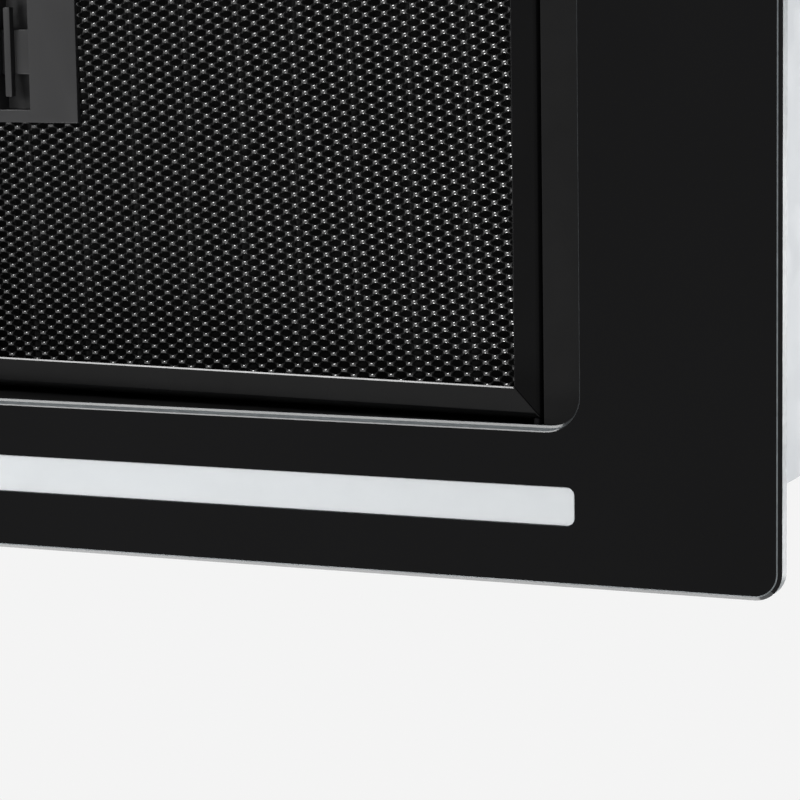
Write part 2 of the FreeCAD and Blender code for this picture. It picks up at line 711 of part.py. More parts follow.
def make_housing():
    """Folded sheet metal housing: front and sides in one, a back, a top, and their fasteners."""
    depth = "(housing_depth - housing_sheet)"
    outer = block("wrap_outer", ("housing_width", depth, "housing_height"),
                  ("0", f"{HOUSING_Y} - housing_sheet / 2", "0"))
    inner = block("wrap_inner", (f"2 * {WALL_X}", depth, "housing_height"),
                  ("0", f"{HOUSING_Y} + housing_sheet / 2", "0"))
    flange_top = f"({TOP_UNDERSIDE} - housing_sheet)"
    parts = [cut("wrap_walls", outer, inner)]
    for s in (-1, 1):
        parts.append(block(f"wrap_foot{s}", ("bottom_flange", f"2 * {WALL_Y}", "housing_sheet"),
                           (f"{s} * ({WALL_X} - bottom_flange / 2)", HOUSING_Y, "0")))
        parts.append(block(f"wrap_ledge{s}", ("top_flange", f"2 * {WALL_Y}", "housing_sheet"),
                           (f"{s} * {TOP_SCREW_X}", HOUSING_Y, flange_top)))
    parts.append(block("wrap_front_ledge", (f"2 * ({WALL_X} - top_flange)", "top_flange", "housing_sheet"),
                       ("0", f"{HOUSING_Y} - {TOP_SCREW_Y}", flange_top)))
    top_holes = [drill(f"top_holes_{part}", "screw_radius", TOP_SCREWS, f"{TOP_UNDERSIDE} - screw_length",
                       "housing_height + housing_sheet") for part in ("wrap", "back", "top")]
    rivet_holes = drill("wrap_rivet_holes", "rivet_radius", RIVETS, "-housing_sheet", "2 * housing_sheet")
    cabinet_holes = []
    for s in (-1, 1):
        y = f"{HOUSING_Y} + {s} * cabinet_hole_spread / 2"
        start = (f"-{ALWAYS_THROUGH} / 2", y, "cabinet_hole_height")
        cabinet_holes.append(rod(f"cabinet_hole{s}", "cabinet_hole_radius", ALWAYS_THROUGH, start, "x"))
    piece(cut("wrap", fuse("wrap_folded", *parts), top_holes[0], rivet_holes, *cabinet_holes), "housing_wrap")

    plate = block("back_plate", ("housing_width", "housing_sheet", "housing_height"),
                  ("0", f"{BACK_Y} - housing_sheet / 2", "0"))
    foot = block("back_foot", (f"2 * ({WALL_X} - bottom_flange - flange_gap)", "back_flange", "housing_sheet"),
                 ("0", f"{HOUSING_Y} + {WALL_Y} - back_flange / 2", "0"))
    ledge = block("back_ledge", (f"2 * ({WALL_X} - top_flange - flange_gap)", "top_flange", "housing_sheet"),
                  ("0", f"{HOUSING_Y} + {TOP_SCREW_Y}", flange_top))
    piece(cut("back", fuse("back_folded", plate, foot, ledge), top_holes[1]), "housing_back")

    lid = block("top_plate", (f"2 * {WALL_X}", f"2 * {WALL_Y}", "housing_sheet"),
                ("0", HOUSING_Y, TOP_UNDERSIDE))
    outlet = block("top_outlet", ("scroll_width - 2 * scroll_wall", f"{OUTLET_DEPTH} - 2 * scroll_wall",
                                  "4 * housing_sheet"),
                   ("0", OUTLET_Y, f"{TOP_UNDERSIDE} - housing_sheet"))
    low, high = f"({TOP_UNDERSIDE} - housing_sheet)", "(housing_height + housing_sheet)"
    more = [drill("top_collar_holes", "screw_radius", COLLAR_SCREWS, low, high),
            drill("top_scroll_holes", "screw_radius", SCROLL_SCREWS, low, high),
            drill("top_driver_holes", "screw_radius", DRIVER_SCREWS, low, high),
            drill("top_cable_holes", "cable_hole_radius", [LED_CABLE_TOP, MOTOR_CABLE_TOP], low, high)]
    piece(cut("top", lid, outlet, top_holes[2], *more), "housing_top")
    add_screws("top_fixings", TOP_SCREWS, "housing_height")

    rivets = []
    for index, (x, y) in enumerate(RIVETS):
        shank = rod(f"rivet_shank{index}", "rivet_radius", "tray_sheet + housing_sheet", (x, y, "-tray_sheet"))
        head = rod(f"rivet_head{index}", "rivet_head_radius", "rivet_head_height", (x, y, "housing_sheet"))
        tail = rod(f"rivet_tail{index}", "rivet_tail_radius", "rivet_tail_height",
                   (x, y, "-tray_sheet - rivet_tail_height"))
        rivets.append(fuse(f"rivet{index}", shank, head, tail))
    piece(group("rivets", rivets), "base_rivets")


def make_clips():
    """Two leaf springs on the sides of the housing, which snap over the cabinet floor."""
    clips = []
    for s, turn in ((-1, "180"), (1, "0")):
        frame = at(f"{s} * housing_width / 2", HOUSING_Y, "clip_bend_height", "0; 0; 1", turn)
        plate = block(f"clip_plate{s}", ("clip_sheet", "clip_width", "clip_plate"),
                      ("clip_sheet / 2", "0", "0"), frame)
        leaf = block(f"clip_leaf{s}", ("clip_sheet", "clip_width", "clip_leaf"),
                     ("clip_sheet / 2", "0", "-clip_leaf"), frame,
                     at("0", "0", "0", "0; 1; 0", "-clip_spread_angle"))
        clips.append(fuse(f"clip{s}", plate, leaf))
    piece(group("clips", clips), "cabinet_clips")


def scroll_outline(inset):
    """The spiral outline of the blower casing: three quarter arcs and an upright outlet."""
    radius, step = value("scroll_radius"), value("scroll_step")
    top = value(TOP_UNDERSIDE)
    y0 = value(f"{BLOWER_Y} + scroll_step / 2")
    z0 = value(f"{BLOWER_Z} - scroll_step / 2")
    centres = ((y0, z0), (y0 - step, z0), (y0 - step, z0 + step))
    edges = []
    for index, (y, z) in enumerate(centres):
        reach = radius + index * step - inset
        angles = [math.radians(90 - 90 * index - 45 * k) for k in range(3)]
        points = [FreeCAD.Vector(0, y + reach * math.cos(a), z + reach * math.sin(a)) for a in angles]
        edges.append(Part.Arc(*points).toShape())
    start, end = edges[0].Vertexes[0].Point, edges[-1].Vertexes[-1].Point
    corners = [end, FreeCAD.Vector(0, end.y, top), FreeCAD.Vector(0, y0 - inset, top)]
    if inset:
        corners.append(FreeCAD.Vector(0, y0 - inset, start.z))
    corners.append(start)
    edges += [Part.makeLine(a, b) for a, b in zip(corners, corners[1:])]
    return Part.Face(Part.Wire(edges))


def make_scroll():
    """Blower casing in two halves, each with an inlet, an outlet flange and screws to the top."""
    half = value("scroll_width / 2")
    wall = value("scroll_wall")
    top = value(TOP_UNDERSIDE)
    axis = FreeCAD.Vector(0, value(BLOWER_Y), value(BLOWER_Z))
    outlet = value(OUTLET_DEPTH)
    flange = value("scroll_flange")
    front = value(f"{OUTLET_Y} - {OUTLET_DEPTH} / 2")
    reach = value("grommet_circle")
    turns = [math.radians(90 + 120 * k) for k in range(3)]
    hub = [(axis.y + reach * math.cos(turn), axis.z + reach * math.sin(turn)) for turn in turns]
    for side, label in ((-1, "scroll_left"), (1, "scroll_right")):
        outward = FreeCAD.Vector(side, 0, 0)
        shell = scroll_outline(0).extrude(outward * half)
        room = scroll_outline(wall).extrude(outward * (half - wall))
        inlet = Part.makeCylinder(value("inlet_radius"), half, axis, outward)
        lips = []
        for y in (front - flange, front + outlet):
            low_x = min(0, side * half)
            lips.append(Part.makeBox(half, flange, wall, FreeCAD.Vector(low_x, y, top - wall)))
        solid = shell.fuse(lips).cut(room.fuse(inlet)).removeSplitter()
        for x, y in SCROLL_SCREWS:
            hole_at = FreeCAD.Vector(value(x), value(y), top - 2 * wall)
            solid = solid.cut(Part.makeCylinder(value("screw_radius"), 4 * wall, hole_at))
        if side < 0:
            for y, z in hub:
                hole_at = FreeCAD.Vector(-half - wall, y, z)
                inward = FreeCAD.Vector(1, 0, 0)
                solid = solid.cut(Part.makeCylinder(value("motor_screw_radius"), 3 * wall, hole_at, inward))
        feature = doc.addObject("Part::Feature", f"{label}_shell")
        feature.Shape = solid.Solids[0] if len(solid.Solids) == 1 else solid
        piece(feature, label)
    add_screws("scroll_fixings", SCROLL_SCREWS, "housing_height")


def make_motor():
    """Motor in the left inlet, its three-armed bracket, rubber mounts and screws."""
    body = new_body("motor_case")
    sketch = new_sketch(body, "motor_profile", "XZ_Plane")
    bore = "shaft_radius + shaft_clearance"
    front = "motor_length"
    polygon(sketch, [("0", "0"), ("motor_radius", "0"), ("motor_radius", front),
                     ("motor_boss_radius", front), ("motor_boss_radius", f"{front} + motor_boss_height"),
                     (bore, f"{front} + motor_boss_height"), (bore, f"{front} - shaft_inside_motor"),
                     ("0", f"{front} - shaft_inside_motor")])
    revolve(body, "motor_turned", sketch)
    seat(body, at(MOTOR_END, BLOWER_Y, BLOWER_Z, "0; 1; 0", "90"))
    piece(body, "motor_body")

    frame = at(BRACKET_X, BLOWER_Y, BLOWER_Z, "0; 1; 0", "90")
    ring = rod("bracket_ring_outer", "motor_radius + bracket_ring", "bracket_thickness", ("0", "0", "0"))
    arms, holes, mounts, bolts = [], [], [], []
    for k in range(3):
        turn = at("0", "0", "0", "0; 0; 1", f"180 + 120 * {k}")
        arms.append(box(f"bracket_arm{k}", ("bracket_reach", "bracket_arm_width", "bracket_thickness"),
                        ("0", "-bracket_arm_width / 2", "0"), turn))
        holes.append(rod(f"bracket_hole{k}", "motor_screw_radius", "3 * bracket_thickness",
                         ("grommet_circle", "0", "-bracket_thickness"), "z", turn))
        start = ("grommet_circle", "0", "bracket_thickness")
        rubber = rod(f"mount_rubber{k}", "grommet_radius", "grommet_height", start, "z", frame, turn)
        hollow = rod(f"mount_hollow{k}", "motor_screw_radius", "grommet_height", start, "z", frame, turn)
        mounts.append(cut(f"mount{k}", rubber, hollow))
        length = "bracket_thickness + grommet_height + scroll_wall + motor_screw_overrun"
        shank = rod(f"bolt_shank{k}", "motor_screw_radius", length,
                    ("grommet_circle", "0", "0"), "z", frame, turn)
        head = rod(f"bolt_head{k}", "2 * motor_screw_radius", "screw_head_height",
                   ("grommet_circle", "0", "-screw_head_height"), "z", frame, turn)
        bolts.append(fuse(f"bolt{k}", shank, head))
    bore = rod("bracket_bore", "motor_radius", "3 * bracket_thickness", ("0", "0", "-bracket_thickness"))
    piece(seat(cut("bracket", fuse("bracket_star", ring, *arms), bore, *holes), frame), "motor_bracket")
    piece(group("mounts", mounts), "motor_grommets")
    piece(group("bolts", bolts), "motor_screws")

    guard_at = at("scroll_width / 2", BLOWER_Y, BLOWER_Z, "0; 1; 0", "90")
    rim = rod("guard_rim", "inlet_radius + guard_ring", "guard_thickness", ("0", "0", "0"))
    open_part = rod("guard_open", "inlet_radius", "guard_thickness", ("0", "0", "0"))
    bar_size = ("2 * inlet_radius + guard_ring", "guard_bar", "guard_thickness")
    bars = [block(f"guard_bar{k}", bar_size, ("0", "0", "0"), at("0", "0", "0", "0; 0; 1", f"60 * {k}"))
            for k in range(3)]
    piece(seat(fuse("guard", cut("guard_ring_open", rim, open_part), *bars), guard_at), "inlet_guard")


def make_impeller():
    """Double inlet impeller with leaning blades, on the motor shaft with its nut."""
    body = new_body("impeller_wheel")
    pad(body, "wheel_disc", circle(new_sketch(body, "disc_outline", "YZ_Plane"), "impeller_radius"),
        "impeller_disc", "Symmetric")
    pad(body, "wheel_hub", circle(new_sketch(body, "hub_outline", "YZ_Plane"), "hub_radius"),
        "hub_length", "Symmetric")
    lean = "(blade_thickness / 2)"
    outline = polygon(new_sketch(body, "blade_outline", "YZ_Plane"),
                      [(f"-{lean}", "blade_inner_radius"), (lean, "blade_inner_radius"),
                       (f"blade_lean + {lean}", "impeller_radius - impeller_disc"),
                       (f"blade_lean - {lean}", "impeller_radius - impeller_disc")])
    blade = pad(body, "wheel_blade", outline, "impeller_width", "Symmetric")
    blades = body.newObject("PartDesign::PolarPattern", "wheel_blades")
    blades.Originals = [blade]
    blades.Axis = (origin_part(body, "X_Axis"), [""])
    blades.Angle = 360
    body.Tip = blades
    bind(blades, "Occurrences", "blade_count")
    doc.recompute()
    starts = (("left", "-impeller_width / 2"), ("right", "impeller_width / 2 - impeller_ring_height"))
    for name, start in starts:
        sketch = new_sketch(body, f"ring_{name}_outline", "YZ_Plane", start)
        circle(sketch, "impeller_radius")
        circle(sketch, "impeller_radius - impeller_ring")
        pad(body, f"wheel_ring_{name}", sketch, "impeller_ring_height")
    pocket(body, "wheel_bore", circle(new_sketch(body, "bore_outline", "YZ_Plane"), "shaft_radius"))
    seat(body, at("0", BLOWER_Y, BLOWER_Z))
    piece(body, "impeller")

    back = "(-motor_from_disc - shaft_inside_motor + 2 * shaft_clearance + motor_boss_height)"
    end = "(hub_length / 2 + nut_height)"
    piece(rod("shaft", "shaft_radius", f"{end} - {back}", (back, BLOWER_Y, BLOWER_Z), "x"), "motor_shaft")
    nut = doc.addObject("Part::Prism", "nut_hexagon")
    nut.Polygon = 6
    bind(nut, "Circumradius", "nut_width / 2 / cos(30)")
    bind(nut, "Height", "nut_height")
    hole = rod("nut_hole", "shaft_radius", "nut_height", ("0", "0", "0"))
    frame = at("hub_length / 2", BLOWER_Y, BLOWER_Z, "0; 1; 0", "90")
    piece(seat(cut("nut", nut, hole), frame), "impeller_nut")


def make_outlet():
    """Round outlet collar with a stop ring, two damper rods and two half-round flaps."""
    body = new_body("collar_body")
    sketch = new_sketch(body, "collar_profile", "XZ_Plane")
    base, top = "housing_height", "housing_height + collar_height"
    inner = f"{COLLAR_BORE} - stop_ring"
    polygon(sketch, [(COLLAR_BORE, base), ("collar_flange_radius", base),
                     ("collar_flange_radius", f"{base} + collar_flange_height"),
                     ("collar_radius", f"{base} + collar_flange_height"),
                     ("collar_radius", top), (COLLAR_BORE, top),
                     (COLLAR_BORE, STOP_TOP), (inner, STOP_TOP), (inner, f"{STOP_TOP} - stop_ring_height"),
                     (COLLAR_BORE, f"{STOP_TOP} - stop_ring_height")])
    revolve(body, "collar_turned", sketch)
    seat(body, at("0", OUTLET_Y, "0"))
    length = "2 * (collar_radius - damper_rod_end)"
    rods, holes = [], []
    for s in (-1, 1):
        start = ("-collar_radius + damper_rod_end", f"{OUTLET_Y} + {s} * damper_axis_offset", DAMPER_Z)
        rods.append(rod(f"damper_rod{s}", "damper_rod_radius", length, start, "x"))
        holes.append(rod(f"damper_rod_hole{s}", "damper_rod_radius", length, start, "x"))
    screw_holes = drill("collar_screw_holes", "screw_radius", COLLAR_SCREWS, "housing_height - housing_sheet",
                        "housing_height + 2 * collar_flange_height")
    piece(cut("collar", body, *holes, screw_holes), "outlet_collar")
    piece(group("rods", rods), "damper_rods")
    add_screws("collar_fixings", COLLAR_SCREWS, "(housing_height + collar_flange_height)")

    for s, label in ((-1, "damper_flap_front"), (1, "damper_flap_rear")):
        axis_y = f"({OUTLET_Y} + {s} * damper_axis_offset)"
        plate_low = f"{DAMPER_Z} - flap_thickness / 2"
        disc = rod(f"flap_disc{s}", f"{COLLAR_BORE} - flap_edge_gap", "flap_thickness",
                   ("0", OUTLET_Y, plate_low))
        side = block(f"flap_side{s}", ("3 * collar_radius", "collar_radius", "3 * flap_thickness"),
                     ("0", f"{axis_y} + {s} * collar_radius / 2", f"{DAMPER_Z} - 1.5 * flap_thickness"))
        barrel = rod(f"flap_barrel{s}", "flap_barrel_radius", "flap_barrel_length",
                     ("-flap_barrel_length / 2", axis_y, DAMPER_Z), "x")
        bore = rod(f"flap_bore{s}", "damper_rod_radius + pivot_clearance", "3 * collar_radius",
                   ("-1.5 * collar_radius", axis_y, DAMPER_Z), "x")
        half = fuse(f"flap_half{s}", common(f"flap_plate{s}", disc, side), barrel)
        piece(cut(f"flap{s}", half, bore), label)


def make_electronics():
    """Control box with lid, board and its parts, cable gland, light driver and two cables."""
    size = ("case_box_depth", "case_box_length", "case_box_height")
    shell = block("box_shell", size, (BOX_X, BOX_Y, "housing_height"))
    room = block("box_room", ("case_box_depth - 2 * case_box_wall", "case_box_length - 2 * case_box_wall",
                              "case_box_height"), (BOX_X, BOX_Y, BOX_FLOOR))
    corners = [(f"{BOARD_X} + {a} * (board_depth / 2 - standoff_inset)",
                f"{BOARD_Y} + {b} * (board_length / 2 - standoff_inset)") for a in (-1, 1) for b in (-1, 1)]
    posts = [rod(f"box_post{i}", "standoff_radius", "standoff_height", (x, y, BOX_FLOOR))
             for i, (x, y) in enumerate(corners)]
    gland_z = f"{BOX_FLOOR} + case_box_height / 2"
    gland_hole = rod("box_gland_hole", "gland_radius", "4 * case_box_wall",
                     (BOX_X, f"{BOX_REAR} - 2 * case_box_wall", gland_z), "y")
    cable_hole = rod("box_cable_hole", "cable_hole_radius", "4 * case_box_wall",
                     (*MOTOR_CABLE_TOP, "housing_height - case_box_wall"))
    tray = fuse("box_with_posts", cut("box_open", shell, room), *posts)
    piece(cut("box", tray, gland_hole, cable_hole), "electronics_box")

    top = "(housing_height + case_box_height)"
    cover = block("lid_cover", ("case_box_depth", "case_box_length", "case_box_wall"), (BOX_X, BOX_Y, top))
    inset = "2 * (case_box_wall + lid_gap)"
    lip = block("lid_lip_outer", (f"case_box_depth - {inset}", f"case_box_length - {inset}", "lid_lip"),
                (BOX_X, BOX_Y, f"{top} - lid_lip"))
    hollow = block("lid_lip_inner", (f"case_box_depth - {inset} - 2 * case_box_wall",
                                     f"case_box_length - {inset} - 2 * case_box_wall", "lid_lip"),
                   (BOX_X, BOX_Y, f"{top} - lid_lip"))
    piece(fuse("lid", cover, cut("lid_rim", lip, hollow)), "electronics_lid")

    piece(block("board", ("board_depth", "board_length", "board_thickness"),
                (BOARD_X, BOARD_Y, f"{BOX_FLOOR} + standoff_height")), "control_board")
    coil = block("transformer", ("transformer_depth", "transformer_length", "transformer_height"),
                 (BOARD_X, f"{BOARD_Y} - board_length / 4", BOARD_TOP))
    relays = [block(f"relay{i}", ("relay_length", "relay_depth", "relay_height"),
                    (f"{BOARD_X} - board_depth / 4", f"{BOARD_Y} + board_length * {share}", BOARD_TOP))
              for i, share in enumerate(RELAY_SHARES)]
    terminals = block("terminal_block", ("terminal_depth", "terminal_length", "terminal_height"),
                      (f"{BOARD_X} + board_depth / 4", f"{BOARD_Y} + board_length / 4", BOARD_TOP))
    piece(group("parts_on_board", [coil, *relays, terminals]), "board_components")
    can_at = (f"{BOX_LEFT} + case_box_wall + board_gap",
              f"{BOX_REAR} - case_box_length + case_box_wall + board_gap + capacitor_radius",
              f"{BOX_FLOOR} + capacitor_radius")
    piece(rod("capacitor_can", "capacitor_radius", "capacitor_length", can_at, "x"), "capacitor")

    body = new_body("gland_body")
    sketch = new_sketch(body, "gland_profile", "XZ_Plane")
    polygon(sketch, [("gland_bore", "0"), ("gland_radius", "0"), ("gland_radius", "case_box_wall"),
                     ("gland_flange_radius", "case_box_wall"),
                     ("gland_flange_radius", "case_box_wall + gland_flange_height"),
                     ("gland_dome_radius", "case_box_wall + gland_flange_height"),
                     ("gland_dome_radius", "gland_length - gland_cone"),
                     ("gland_bore + gland_nose", "gland_length"), ("gland_bore", "gland_length")])
    revolve(body, "gland_turned", sketch)
    seat(body, at(BOX_X, f"{BOX_REAR} - case_box_wall", gland_z, *TURN_TO["y"]))
    piece(body, "cable_gland")

    core = block("driver_core", ("driver_length", "driver_depth", "driver_height"),
                 (DRIVER_X, DRIVER_Y, "housing_height"))
    ears = block("driver_ears", ("driver_length + 2 * driver_ear", "driver_depth", "driver_ear_height"),
                 (DRIVER_X, DRIVER_Y, "housing_height"))
    ear_holes = drill("driver_ear_holes", "screw_radius", DRIVER_SCREWS, TOP_UNDERSIDE,
                      "housing_height + 2 * driver_ear_height")
    piece(cut("driver", fuse("driver_case", core, ears), ear_holes), "led_driver")
    add_screws("driver_fixings", DRIVER_SCREWS, "(housing_height + driver_ear_height)")


def make_cable(label, corners):
    """A round cable along straight runs that are joined by wide bends."""
    points = [FreeCAD.Vector(*(value(text) for text in corner)) for corner in corners]
    bend = value("cable_bend")
    edges = []
    start = points[0]
    for before, corner, after in zip(points, points[1:], points[2:]):
        inward = (before - corner).normalize()
        outward = (after - corner).normalize()
        first = corner + inward * bend
        last = corner + outward * bend
        middle = corner + (inward + outward) * bend * (1 - math.sqrt(0.5))
        edges.append(Part.makeLine(start, first))
        edges.append(Part.Arc(first, middle, last).toShape())
        start = last
    edges.append(Part.makeLine(start, points[-1]))
    path = Part.Wire(edges)
    section = Part.Wire(Part.makeCircle(value("cable_radius"), points[0], points[1] - points[0]))
    feature = doc.addObject("Part::Feature", f"{label}_run")
    feature.Shape = path.makePipeShell([section], True, True)
    piece(feature, label)


def make_cables():
    """The light's cable up to its driver, and the motor's cable up to the control box."""
    led_x, led_y = LED_CABLE_TOP
    level = f"{TOP_UNDERSIDE} - led_cable_drop"
    make_cable("led_cable", [(led_x, LIGHT_Y, "sink_height - tray_sheet"), (led_x, LIGHT_Y, level),
                             (led_x, led_y, level), (led_x, led_y, "housing_height")])
    cable_x, cable_y = MOTOR_CABLE_TOP
    make_cable("motor_cable", [(MOTOR_END, cable_y, BLOWER_Z), (cable_x, cable_y, BLOWER_Z),
                               (cable_x, cable_y, f"{BOX_FLOOR} + motor_cable_end_gap")])


def make_rail(name, label, length, frames, *tools):
    """A mitred channel rail of a filter frame, with its outer edges rounded."""
    def wedge(suffix, inset, low, high):
        obj = doc.addObject("Part::Wedge", f"{name}_{suffix}")
        for sign, near, far in (("-", "Xmin", "X2min"), ("", "Xmax", "X2max")):
            bind(obj, near, f"{sign}({length} / 2 - {inset})")
            bind(obj, far, f"{sign}({length} / 2 - rail_width)")
        for prop, text in (("Ymin", inset), ("Ymax", "rail_width"), ("Zmin", low), ("Z2min", low),
                           ("Zmax", high), ("Z2max", high)):
            bind(obj, prop, text)
        return obj
    solid = wedge("solid", "0", "0", "filter_thickness")
    hollow = wedge("hollow", "rail_wall", "rail_wall", "filter_thickness - rail_wall")
    channel = cut(f"{name}_channel", solid, hollow)
    doc.recompute()
    edges = [i for i, edge in enumerate(channel.Shape.Edges, start=1)
             if edge.BoundBox.YMax < 1e-6 and edge.BoundBox.ZLength < 1e-6]
    rounded = doc.addObject("Part::Fillet", f"{name}_rounded")
    rounded.Base = channel
    rounded.Edges = [(i, value("rail_round"), value("rail_round")) for i in edges]
    rail = cut(f"{name}_cut", rounded, *tools) if tools else rounded
    piece(seat(rail, *frames), label)


def make_filter(side, turn, front_sign):
    """One grease filter: four rails, two meshes, a pivot rod, and a spring latch."""
    name = f"filter_{side}"
    frame = [at(f"{turn[0]} * {PIVOT_X}", OPENING_Y, PIVOT_Z, "0; 0; 1", turn[1]),
             at("0", "0", "0", "0; 1; 0", "-filter_tilt")]
    middle = f"({FILTER_LENGTH} / 2 - pivot_inset)"
    for s, angle in ((-1, "0"), (1, "180")):
        label = f"{name}_front_rail" if s == front_sign else f"{name}_rear_rail"
        hole = rod(f"{label}_hole", "pivot_radius", "4 * rail_wall",
                   (f"{s} * {middle}", "-rail_wall", "pivot_inset"), "y")
        local = at(middle, f"{s} * {FILTER_DEPTH} / 2", "-pivot_inset", "0; 0; 1", angle)
        make_rail(label, label, FILTER_LENGTH, [*frame, local], hole)
    local = at("-pivot_inset", "0", "-pivot_inset", "0; 0; 1", "-90")
    make_rail(f"{name}_outer_rail", f"{name}_outer_rail", FILTER_DEPTH, [*frame, local])
    slot_size = ("latch_width + 4 * latch_play", "4 * rail_wall", "latch_height + 4 * latch_play")
    slot = block(f"{name}_latch_slot", slot_size, ("0", "0", "pivot_inset + latch_level - 2 * latch_play"))
    local = at(FILTER_END, "0", "-pivot_inset", "0; 0; 1", "90")
    make_rail(f"{name}_inner_rail", f"{name}_inner_rail", FILTER_DEPTH, [*frame, local], slot)

    make_meshes(name, frame)

    reach = f"({FILTER_DEPTH} / 2 + filter_end_gap + tray_wall_setback + tray_sheet + pivot_overrun)"
    piece(rod(f"{name}_rod", "pivot_radius", f"2 * {reach}", ("0", f"-{reach}", "0"), "y", *frame),
          f"{name}_pivot_rod")
    make_latch(name, frame)


def make_meshes(name, frame):
    """The mesh face of a filter, and behind it the pleated mesh with its cover mesh."""
    mesh_length = f"({FILTER_LENGTH} - 2 * mesh_edge_gap)"
    mesh_depth = f"({FILTER_DEPTH} - 2 * mesh_edge_gap)"
    middle = f"({FILTER_LENGTH} / 2 - pivot_inset)"
    face_low = "(rail_wall - pivot_inset)"
    cover_low = "(filter_thickness - pivot_inset - rail_wall - mesh_sheet)"
    face = block(f"{name}_face_sheet", (mesh_length, mesh_depth, "mesh_sheet"), (middle, "0", face_low))
    cover = block(f"{name}_cover_sheet", (mesh_length, mesh_depth, "mesh_sheet"), (middle, "0", cover_low))

    count = 2 * int(value("pleat_count"))
    start, length = value("mesh_edge_gap - pivot_inset"), value(mesh_length)
    heights = (value(f"{face_low} + mesh_sheet"), value(f"{cover_low} - pleat_sheet"))
    front = -value(mesh_depth) / 2
    under = [FreeCAD.Vector(start + length * i / count, front, heights[i % 2]) for i in range(count + 1)]
    above = [point + FreeCAD.Vector(0, 0, value("pleat_sheet")) for point in reversed(under)]
    outline = Part.makePolygon(under + above + under[:1])
    pleats = doc.addObject("Part::Feature", f"{name}_pleated_sheet")
    pleats.Shape = Part.Face(outline).extrude(FreeCAD.Vector(0, value(mesh_depth), 0))

    notched = []
    for layer, sheet_part in (("face", face), ("pleats", pleats), ("cover", cover)):
        notch = box(f"{name}_{layer}_notch", (FILTER_LENGTH, "case_width", "2 * filter_thickness"),
                    (f"{LIP_EDGE} - case_length", "-case_width / 2", "-filter_thickness"))
        notched.append(cut(f"{name}_{layer}_cut", sheet_part, notch))
    piece(seat(notched[0], *frame), f"{name}_mesh_face")
    piece(seat(group(f"{name}_pack", notched[1:]), *frame), f"{name}_mesh_pack")


def make_latch(name, frame):
    """Latch case with a finger recess, the sliding latch in it and its return spring."""
    case = block(f"{name}_case_block", ("case_length", "case_width", "filter_thickness"),
                 (f"{LIP_EDGE} - case_length / 2", "0", "-pivot_inset"))
    lug_size = ("rail_width - rail_wall", "case_lug_width", "filter_thickness - 2 * rail_wall")
    lug = box(f"{name}_case_lug", lug_size, (LIP_EDGE, "-case_lug_width / 2", "rail_wall - pivot_inset"))
    finger_end = f"({LIP_EDGE} - finger_wall)"
    finger_start = f"({finger_end} - finger_length)"
    finger = box(f"{name}_finger", ("finger_length", "finger_width", "finger_depth"),
                 (finger_start, "-finger_width / 2", "-pivot_inset"))
    way_width = "(latch_width + 2 * latch_play)"
    way_low = "(latch_level - latch_play)"
    way = box(f"{name}_way", ("chamber_length + finger_length + finger_wall + rail_width", way_width,
                              "latch_height + 2 * latch_play"),
              (f"{finger_start} - chamber_length", f"-{way_width} / 2", way_low))
    hollowed = cut(f"{name}_case", fuse(f"{name}_case_full", case, lug), finger, way)
    piece(seat(hollowed, *frame), f"{name}_latch_case")

    back = f"({finger_start} - latch_overlap)"
    tongue = box(f"{name}_tongue", (f"{FILTER_END} + latch_throw - {back}", "latch_width", "latch_height"),
                 (back, "-latch_width / 2", "latch_level"))
    tab = box(f"{name}_tab", ("tab_thickness", "tab_width", "tab_drop"),
              (f"{finger_end} - tab_from_wall - tab_thickness", "-tab_width / 2", "latch_level - tab_drop"))
    piece(seat(fuse(f"{name}_slider", tongue, tab), *frame), f"{name}_latch_slider")

    start = (f"{finger_start} - chamber_length", "0", LATCH_MIDDLE)
    coil = rod(f"{name}_spring_outer", "spring_radius", "chamber_length - latch_overlap", start, "x")
    bore = rod(f"{name}_spring_bore", "spring_bore", "chamber_length - latch_overlap", start, "x")
    piece(seat(cut(f"{name}_spring", coil, bore), *frame), f"{name}_latch_spring")


def check_and_export():
    """Stop on any object that failed, then write one file for each piece."""
    doc.recompute()
    for obj in doc.Objects:
        if "Invalid" in obj.State or "Error" in obj.State:
            raise RuntimeError(f"{obj.Label}: {obj.State}")
    os.makedirs("parts", exist_ok=True)
    for obj in pieces:
        if obj.Shape.isNull() or not obj.Shape.isValid():
            raise RuntimeError(f"{obj.Label}: the shape is not valid")
        obj.Shape.exportStep(f"parts/{obj.Label}.step")
        box_of = obj.Shape.BoundBox
        print(f"{obj.Label}: {len(obj.Shape.Solids)} solids, {obj.Shape.Volume:.0f} mm3, "
              f"X {box_of.XMin:.1f} {box_of.XMax:.1f} Y {box_of.YMin:.1f} {box_of.YMax:.1f} "
              f"Z {box_of.ZMin:.1f} {box_of.ZMax:.1f}")
    print(len(pieces), "pieces")


fill_sheet()
make_glass()
make_tape()
make_tray()
make_bar()
make_light()
make_touch_control()
make_housing()
make_clips()
make_scroll()
make_motor()
make_impeller()
make_outlet()
make_electronics()
make_cables()
make_filter("left", ("-1", "0"), -1)
make_filter("right", ("1", "180"), 1)
piece(group("screw_group", screw_solids), "housing_screws")
check_and_export()
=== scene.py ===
"""Looks of a built-in range hood: camera, studio, finishes, mesh filters and screw heads."""
import json
import logging
import math
from dataclasses import dataclass, field
from enum import Enum

import bmesh
import bpy
import numpy as np
from mathutils import Matrix, Vector


